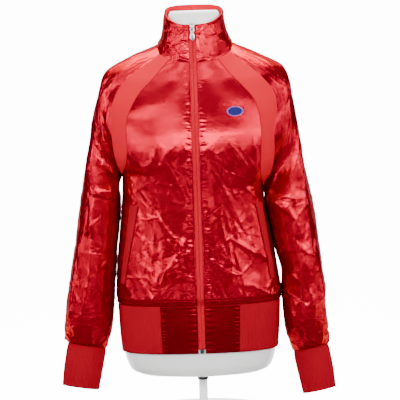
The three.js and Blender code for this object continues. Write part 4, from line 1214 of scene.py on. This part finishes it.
def zip_tape(side):
    u, v = grid(300, 6)
    height = lerp(ZIP_BOTTOM, ZIP_TOP, v)
    points = zip_line(height)
    points[..., 0] = side * lerp(TAPE_INNER, TAPE_OUTER + 0.6, u)
    ripple = 0.5 * np.sin(height / 2.9) * np.sin(height / 41 + side) * smooth(u, 0, 1)
    points[..., 1] += 0.5 - ripple
    return points


def waistband(from_angle, to_angle):
    ribs = 222
    cells_per_rib = 4
    u, v = grid(22, ribs * cells_per_rib)
    angle = lerp(from_angle, to_angle, u)
    height = lerp(HEM_BOTTOM, HEM_TOP, v)
    points, normals = on_body(angle, height)
    roll = -0.7 * (1 - np.sin(np.pi * v) ** 0.3)
    rib = RIB_HEIGHT * np.cos(2 * np.pi * ribs * u)
    return points + normals * (roll + rib)[..., None]


def hem_tab(side, to_angle):
    u, v = grid(64, 48)
    angle = lerp(hem_angle(side, FRONT_EDGE), to_angle, u)
    height = lerp(HEM_BOTTOM, HEM_TOP, v)
    base, normals = on_body(angle, height)
    held = near_edges(height.shape, ALL_EDGES, 1.0)
    ease_round = 0.03 + 0.04 * gathers((1 - v) * 99, 12)
    ease_down = 0.03 + 0.10 * gathers(np.minimum(u, 1 - u) * 75, 10)
    ease = (ease_round, ease_down)
    return settle(base, normals, ease, held, (120, 80, 50), 95 + side, reach=(-1.5, 4))


def hem_angle(side, x):
    return float(body_angle(side, np.array(float(x)), np.array((HEM_BOTTOM + HEM_TOP) / 2)))


def welt(side):
    place = WELT[side]
    u, v = grid(60, 10)
    height = lerp(place["bottom_z"], place["top_z"], v)
    x = lerp(place["bottom_x"], place["top_x"], v) + (u - 0.5) * place["width"] * lerp(0.5, 1, v)
    angle = body_angle(side, x, height)
    base, normals = on_body(angle, height)
    lift = fold_lift(FRONT_FOLDS[side], x, height)
    crown = 0.9 * (1 - (2 * u - 1) ** 4)
    return base + normals * (lift + crown + 3.4)[..., None]


# Making each piece


def sew(name, points, thickness, material, slot, node, cut, held="hung", rests_on="form", **turned):
    """A finished cloth piece in place of a packed one. Its cut, the pattern piece it was cut from, is
    not used.
    """
    piece = hang(cloth(name, points, thickness, material, **turned), [node])


fronts = {side: front_panel(side) for side in SIDE_NAME}

for side, name in SIDE_NAME.items():
    front = "front_panel_" + name
    sew(front, fronts[side], SATIN, SATIN_RED, "satin", "front_" + name, "front", outward=-side)
    sew(
        "insert_panel_" + name, insert_panel(side), KNIT, INSERT_RED,
        "insert_knit", "insert_" + name, "insert", outward=side,
    )
    sew(
        "raglan_sleeve_" + name, sleeve(side), SATIN, SATIN_RED,
        "satin", "sleeve_" + name, "sleeve", ring_from=SHOULDER_CELLS, outward=-side,
    )
    sew(
        "rib_cuff_" + name, knit_tube(side), KNIT, RIB_RED,
        "rib_knit", "cuff_" + name, "cuff", "stretched", ring_from=0, outward=-side,
    )
    sew(
        "pocket_welt_" + name, welt(side), KNIT, RIB_RED,
        "rib_knit", "welt_" + name, "welt", rests_on=front, outward=side,
    )
    sew(
        "zip_side_" + name, zip_tape(side), TAPE, TAPE_RED,
        "zip_tape", "zip_tape_" + name, "zip_tape", outward=side,
    )

sew("back_panel", back_panel(), SATIN, SATIN_RED, "satin", "back", "back")
sew("stand_collar", collar(), SATIN, SATIN_RED, "satin", "collar", "collar", outward=-1)
sew(
    "collar_lining_band", collar_inside(), KNIT, INSERT_RED,
    "insert_knit", "collar_facing", "collar", outward=-1,
)
tab_end = {RIGHT: hem_angle(RIGHT, TAB_RIGHT), LEFT: hem_angle(LEFT, TAB_LEFT)}
for side, name in SIDE_NAME.items():
    sew(
        "waistband_tab_" + name, hem_tab(side, tab_end[side]), SATIN, TAB_RED,
        "satin", "hem_tab_" + name, "hem_tab", outward=-side,
    )
rib = waistband(tab_end[RIGHT], tab_end[LEFT] - 2 * math.pi)
sew("waistband_rib", rib, KNIT, RIB_RED, "rib_knit", "hem_rib", "hem_rib", "stretched")


# The chest patch, laid on the panel's own points


def surface_at(points, x, z):
    """Where a panel lies at each place seen from the front, from its four nearest points."""
    flat = points.reshape(-1, 3)
    away = (flat[None, :, 0] - x[:, None]) ** 2 + (flat[None, :, 2] - z[:, None]) ** 2
    near = np.argpartition(away, 4, axis=1)[:, :4]
    weight = 1 / (np.take_along_axis(away, near, 1) + 0.05)
    return (flat[near] * weight[..., None]).sum(1) / weight.sum(1)[:, None]


FIELD_SHARE = 0.86


def patch(name, inner, outer, lift, material):
    """An oval ring between two shares of the patch's size, crowned between its edges."""
    rings = 10
    around = 72
    turns = np.linspace(0, 2 * np.pi, around, endpoint=False)
    r, a = np.meshgrid(np.linspace(inner, outer, rings), turns, indexing="ij")
    x = PATCH["x"] + r * PATCH["half_width"] * np.cos(a)
    z = PATCH["z"] + r * PATCH["half_height"] * np.sin(a)
    on = surface_at(fronts[LEFT], x.ravel(), z.ravel())
    from_middle = (r.ravel() - (inner + outer) / 2) / ((outer - inner) / 2 + 1e-6)
    on[:, 1] -= 0.4 + lift * (1 - from_middle**4 * 0.8)
    index = np.arange(rings * around).reshape(rings, around)
    turn = np.roll(index, -1, axis=1)
    quads = np.stack([index[:-1], index[1:], turn[1:], turn[:-1]], axis=-1).reshape(-1, 4)
    made = new_mesh(name, on, quads.tolist(), np.stack([x, z], -1).reshape(-1, 2) * MM)
    clean_mesh(made.data)
    if made.data.polygons[0].normal.y > 0:
        made.data.flip_normals()
    thicken(made, 0.5, material)
    return hang(made)


patch_field = patch("chest_patch_field", 0.0, FIELD_SHARE, 0.5, PATCH_NAVY)
patch_border = patch("chest_patch_border", 0.84, 1.0, 1.1, PATCH_EDGE)


# The dress form and its stand


def form_body():
    tall, wide = 120, 96
    low = FORM["height"][0]
    high = FORM["height"][-1]
    height = low + (high - low) * np.linspace(0, 1, tall + 1)
    a, h = np.meshgrid(np.linspace(0, 2 * np.pi, wide, endpoint=False), height)
    points = girth_point(FORM, a, h)
    made = new_mesh("form_shell_body", points.reshape(-1, 3), tube_faces(tall + 1, wide))
    made.data.materials.append(FORM_SHELL)
    for face in made.data.polygons[-2:]:
        face.use_smooth = False
    hang(made, ["form"])


def turned(name, profile, material, node, slot):
    """A round piece spun from half its outline, as distances from the axis and heights."""
    count = 96
    angle = np.linspace(0, 2 * np.pi, count, endpoint=False)
    rings = [[(r * math.cos(a), r * math.sin(a), z) for a in angle] for r, z in profile]
    points = np.array(rings).reshape(-1, 3)
    made = new_mesh(name, points, tube_faces(len(profile), count), smooth_faces=False)
    made.data.materials.append(material)
    hang(made, [node])


def rounded_disc(radius, low, high, round_):
    steps = [(math.sin(t), math.cos(t)) for t in np.linspace(0, math.pi / 2, 5)]
    bottom = [(radius - round_ + round_ * s, low + round_ - round_ * c) for s, c in steps]
    top = [(radius - round_ + round_ * c, high - round_ + round_ * s) for s, c in steps]
    return bottom + top


form_body()
fitting_bottom = FORM_BOTTOM - FITTING_HEIGHT
pole_top = fitting_bottom - STAND_GAP
fitting = rounded_disc(FITTING_RADIUS, fitting_bottom, FORM_BOTTOM - STAND_GAP, 1)
turned("stand_fitting", fitting, STOP_BLACK, "form_fitting", "black_plastic")
pole = rounded_disc(POLE_RADIUS, BASE_HEIGHT + STAND_GAP, pole_top, 0.6)
turned("stand_pole", pole, STAND_PAINT, "form_pole", "stand_paint")
base = rounded_disc(BASE_RADIUS, 0, BASE_HEIGHT, 3)
turned("stand_base", base, STAND_PAINT, "form_base", "stand_paint")


# The zip's metal and plastic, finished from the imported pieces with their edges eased


def eased_copy(name, node, bevel, material, body=BODY_NAME):
    made = bpy.data.objects.new(name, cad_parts[node].data.copy())
    bpy.context.scene.collection.objects.link(made)
    made.data.materials.clear()
    clean_mesh(made.data, flatten=True)
    ease = made.modifiers.new("edge", "BEVEL")
    ease.width = bevel * MM
    ease.segments = 3
    ease.limit_method = "ANGLE"
    apply_modifiers(made)
    made.data.polygons.foreach_set("use_smooth", [True] * len(made.data.polygons))
    made.data.materials.append(material)
    hang(made, [node], body)


eased_copy("zip_slider_body", "zip_slider", 0.5, ZIP_METAL)
eased_copy("zip_slider_loop", "zip_slider_arch", 0.2, ZIP_METAL)
eased_copy("zip_pull_tab", "zip_pull", 0.3, ZIP_METAL, "pull")
eased_copy("zip_bottom_box", "zip_stop", 0.6, STOP_BLACK)


# Stitches and zip coil, laid along a path by one tree


def bead_tree():
    """Beads of a given length and thickness, evenly spaced along the edges of a mesh."""
    tree = bpy.data.node_groups.new("beads_on_path", "GeometryNodeTree")
    tree.is_modifier = True
    face = tree.interface
    face.new_socket("Geometry", in_out="INPUT", socket_type="NodeSocketGeometry")
    for name, start in [("Spacing", 0.003), ("Length", 0.002), ("Thickness", 0.0005)]:
        face.new_socket(name, in_out="INPUT", socket_type="NodeSocketFloat").default_value = start
    face.new_socket("Finish", in_out="INPUT", socket_type="NodeSocketMaterial")
    face.new_socket("Geometry", in_out="OUTPUT", socket_type="NodeSocketGeometry")

    def add(kind, inputs=None, **settings):
        return add_node(tree, kind, inputs, **settings).outputs

    given = add("NodeGroupInput")
    curve = add("GeometryNodeMeshToCurve", {"Mesh": given["Geometry"]})["Curve"]
    even_inputs = {"Curve": curve, "Length": given["Spacing"]}
    even = add("GeometryNodeResampleCurve", even_inputs, mode="LENGTH")["Curve"]
    tangent = add("GeometryNodeInputTangent")["Tangent"]
    turn = add("FunctionNodeAlignRotationToVector", {"Vector": tangent}, axis="Z")["Rotation"]
    bead = add("GeometryNodeMeshUVSphere", {"Segments": 6, "Rings": 4, "Radius": 0.5})["Mesh"]
    thick = given["Thickness"]
    size = add("ShaderNodeCombineXYZ", {"X": thick, "Y": thick, "Z": given["Length"]})["Vector"]
    laid = {"Points": even, "Instance": bead, "Rotation": turn, "Scale": size}
    place = add("GeometryNodeInstanceOnPoints", laid)["Instances"]
    real = add("GeometryNodeRealizeInstances", {"Geometry": place})["Geometry"]
    shade = add("GeometryNodeSetShadeSmooth", {"Geometry": real})["Geometry"]
    finish = {"Geometry": shade, "Material": given["Finish"]}
    finished = add("GeometryNodeSetMaterial", finish)["Geometry"]
    add("NodeGroupOutput", {"Geometry": finished})
    return tree


BEADS = bead_tree()


def beads(name, paths, spacing, length, thickness, material):
    """One piece of beads, each a stitch or a turn of coil, along lists of points."""
    points = np.concatenate(paths)
    edges = []
    start = 0
    for path in paths:
        edges += [(start + k, start + k + 1) for k in range(len(path) - 1)]
        start += len(path)
    mesh = bpy.data.meshes.new(name)
    mesh.from_pydata((points * MM).tolist(), edges, [])
    made = bpy.data.objects.new(name, mesh)
    bpy.context.scene.collection.objects.link(made)
    lay = made.modifiers.new("beads", "NODES")
    lay.node_group = BEADS
    given = {"Spacing": spacing * MM, "Length": length * MM, "Thickness": thickness * MM}
    given["Finish"] = material
    for item in BEADS.interface.items_tree:
        if item.in_out == "INPUT" and item.name in given:
            lay[item.identifier] = given[item.name]
    apply_modifiers(made)
    hang(made)


coil_height = np.linspace(ZIP_BOTTOM + 2, ZIP_TOP - 3, 400)
coil_path = zip_line(coil_height) + np.array([0, 0.5, 0])
beads("zip_coil", [coil_path], 1.5, 1.1, 1.6, TAPE_RED)
stitch_paths = [fronts[side][4:-4, 3] + np.array([0, -0.35, 0]) for side in SIDE_NAME]
beads("front_stitching", stitch_paths, 3.2, 2.4, 0.55, THREAD_RED)


# Studio


FLOOR_HALF_WIDTH = 1500


def stage_sheet(name, outline, material):
    """A sheet of the set, along an outline of depths and heights."""
    vertices = [(side * FLOOR_HALF_WIDTH, y, z) for y, z in outline for side in (-1, 1)]
    faces = [(2 * k, 2 * k + 1, 2 * k + 3, 2 * k + 2) for k in range(len(outline) - 1)]
    made = new_mesh(name, vertices, faces)
    made.data.materials.append(material)


# Where the dark front floor, which the lower jacket mirrors, gives way to the white sweep
FLOOR_END = 85


def sweep_outline():
    """A floor that turns up behind the stand into the backdrop."""
    turn = np.linspace(0, math.pi / 2, 13)
    bend = [(1500 + 900 * math.sin(a), 900 - 900 * math.cos(a)) for a in turn]
    return [(FLOOR_END, 0)] + bend + [(2400, 2600)]


def sweep_material():
    """White to the eye, dim in the satin's reflections, and not there when seen from behind."""
    material = plain_material("white_sweep", (0.9, 0.9, 0.9), 0.7)
    tree = material.node_tree
    shader = tree.nodes["Principled BSDF"]
    seen = add_node(tree, "ShaderNodeLightPath").outputs["Is Camera Ray"]
    glow = spread(tree, seen, 0, 1, 2, 12)
    feed(tree, shader, {"Emission Color": (1, 1, 1, 1), "Emission Strength": glow})
    behind = add_node(tree, "ShaderNodeNewGeometry").outputs["Backfacing"]
    clear = add_node(tree, "ShaderNodeBsdfTransparent").outputs["BSDF"]
    inputs = {"Fac": behind, 1: shader.outputs["BSDF"], 2: clear}
    choice = add_node(tree, "ShaderNodeMixShader", inputs)
    feed(tree, tree.nodes["Material Output"], {"Surface": choice.outputs["Shader"]})
    return material


stage_sheet("sweep", sweep_outline(), sweep_material())
FLOOR = plain_material("pale_floor", (0.12, 0.12, 0.12), 0.7)
stage_sheet("front_floor", [(-1200, 0), (FLOOR_END, 0)], FLOOR)


def area_light(name, place, target, size, radiance):
    """A softbox of a given brightness, in metres, turned towards a target."""
    light = bpy.data.lights.new(name, "AREA")
    light.shape = "RECTANGLE"
    light.size = size[0]
    light.size_y = size[1]
    light.energy = radiance * math.pi * size[0] * size[1]
    made = bpy.data.objects.new(name, light)
    made.location = place
    made.rotation_euler = (Vector(target) - Vector(place)).to_track_quat("-Z", "Y").to_euler()
    bpy.context.scene.collection.objects.link(made)


# What the lights face. The front boxes make the chest's glossy band, and the gap below them the
# deeper red under it.
CHEST = (0, 0, 0.6)
WAIST = (0, 0, 0.5)

area_light("overhead_softbox", (0, 0.55, 2.3), (0, 0.05, 0.7), (1.8, 0.8), 28)
for side, name in ((-1, "left"), (1, "right")):
    area_light("front_%s_softbox" % name, (side, -2.0, 1.04), CHEST, (1.5, 0.36), 14)
    area_light("front_%s_halo" % name, (side, -2.02, 1.06), CHEST, (1.5, 0.52), 4)
    area_light("front_%s_skirt" % name, (side, -2.02, 0.76), CHEST, (1.5, 0.2), 3)
    area_light("low_%s_softbox" % name, (1.1 * side, -2.3, -0.2), WAIST, (0.8, 0.36), 5)
area_light("top_front_softbox", (0, -0.7, 2.3), (0, 0, 0.72), (2.4, 0.7), 5)
area_light("high_fill", (0, -1.5, 2.1), (0, 0, 0.65), (2.4, 1.5), 0.9)
area_light("low_fill", (0, -2.5, 0.1), (0, 0, 0.4), (3.0, 0.9), 0.25)
area_light("side_left_softbox", (-2.2, -0.9, 1.0), WAIST, (0.45, 1.6), 15)
area_light("side_right_softbox", (2.2, -0.9, 1.0), WAIST, (0.45, 1.6), 15)

world = bpy.data.worlds.new("studio_air")
world.use_nodes = True
air = world.node_tree.nodes["Background"]
feed(world.node_tree, air, {"Color": (1, 1, 1, 1), "Strength": 0.12})
bpy.context.scene.world = world

# Camera. The photograph's scale is about 2.1 mm to a pixel at the jacket, and it is turned by 1.8
# degrees, so that the jacket leans to the left in it.
PHOTO_PIXELS = 400
PIXEL_MM = 2.085
PHOTO_ROLL = 1.8
CAMERA_HEIGHT_ANGLE = 4.5
CAMERA_DISTANCE = 4.2
LOOK_AT = (5.25, 0, 453.7)
SENSOR = 36

camera_data = bpy.data.cameras.new("photo_camera")
camera_data.sensor_width = SENSOR
camera_data.lens = SENSOR * CAMERA_DISTANCE / (PHOTO_PIXELS * PIXEL_MM * MM)
camera = bpy.data.objects.new("photo_camera", camera_data)
tilt = math.radians(CAMERA_HEIGHT_ANGLE)
look_at = Vector(LOOK_AT) * MM
camera.location = look_at + CAMERA_DISTANCE * Vector((0, -math.cos(tilt), math.sin(tilt)))
level = Matrix.Rotation(math.pi / 2 - tilt, 4, "X")
roll = Matrix.Rotation(math.radians(-PHOTO_ROLL), 4, "Z")
camera.matrix_world = Matrix.Translation(camera.location) @ level @ roll
bpy.context.scene.collection.objects.link(camera)
bpy.context.scene.camera = camera
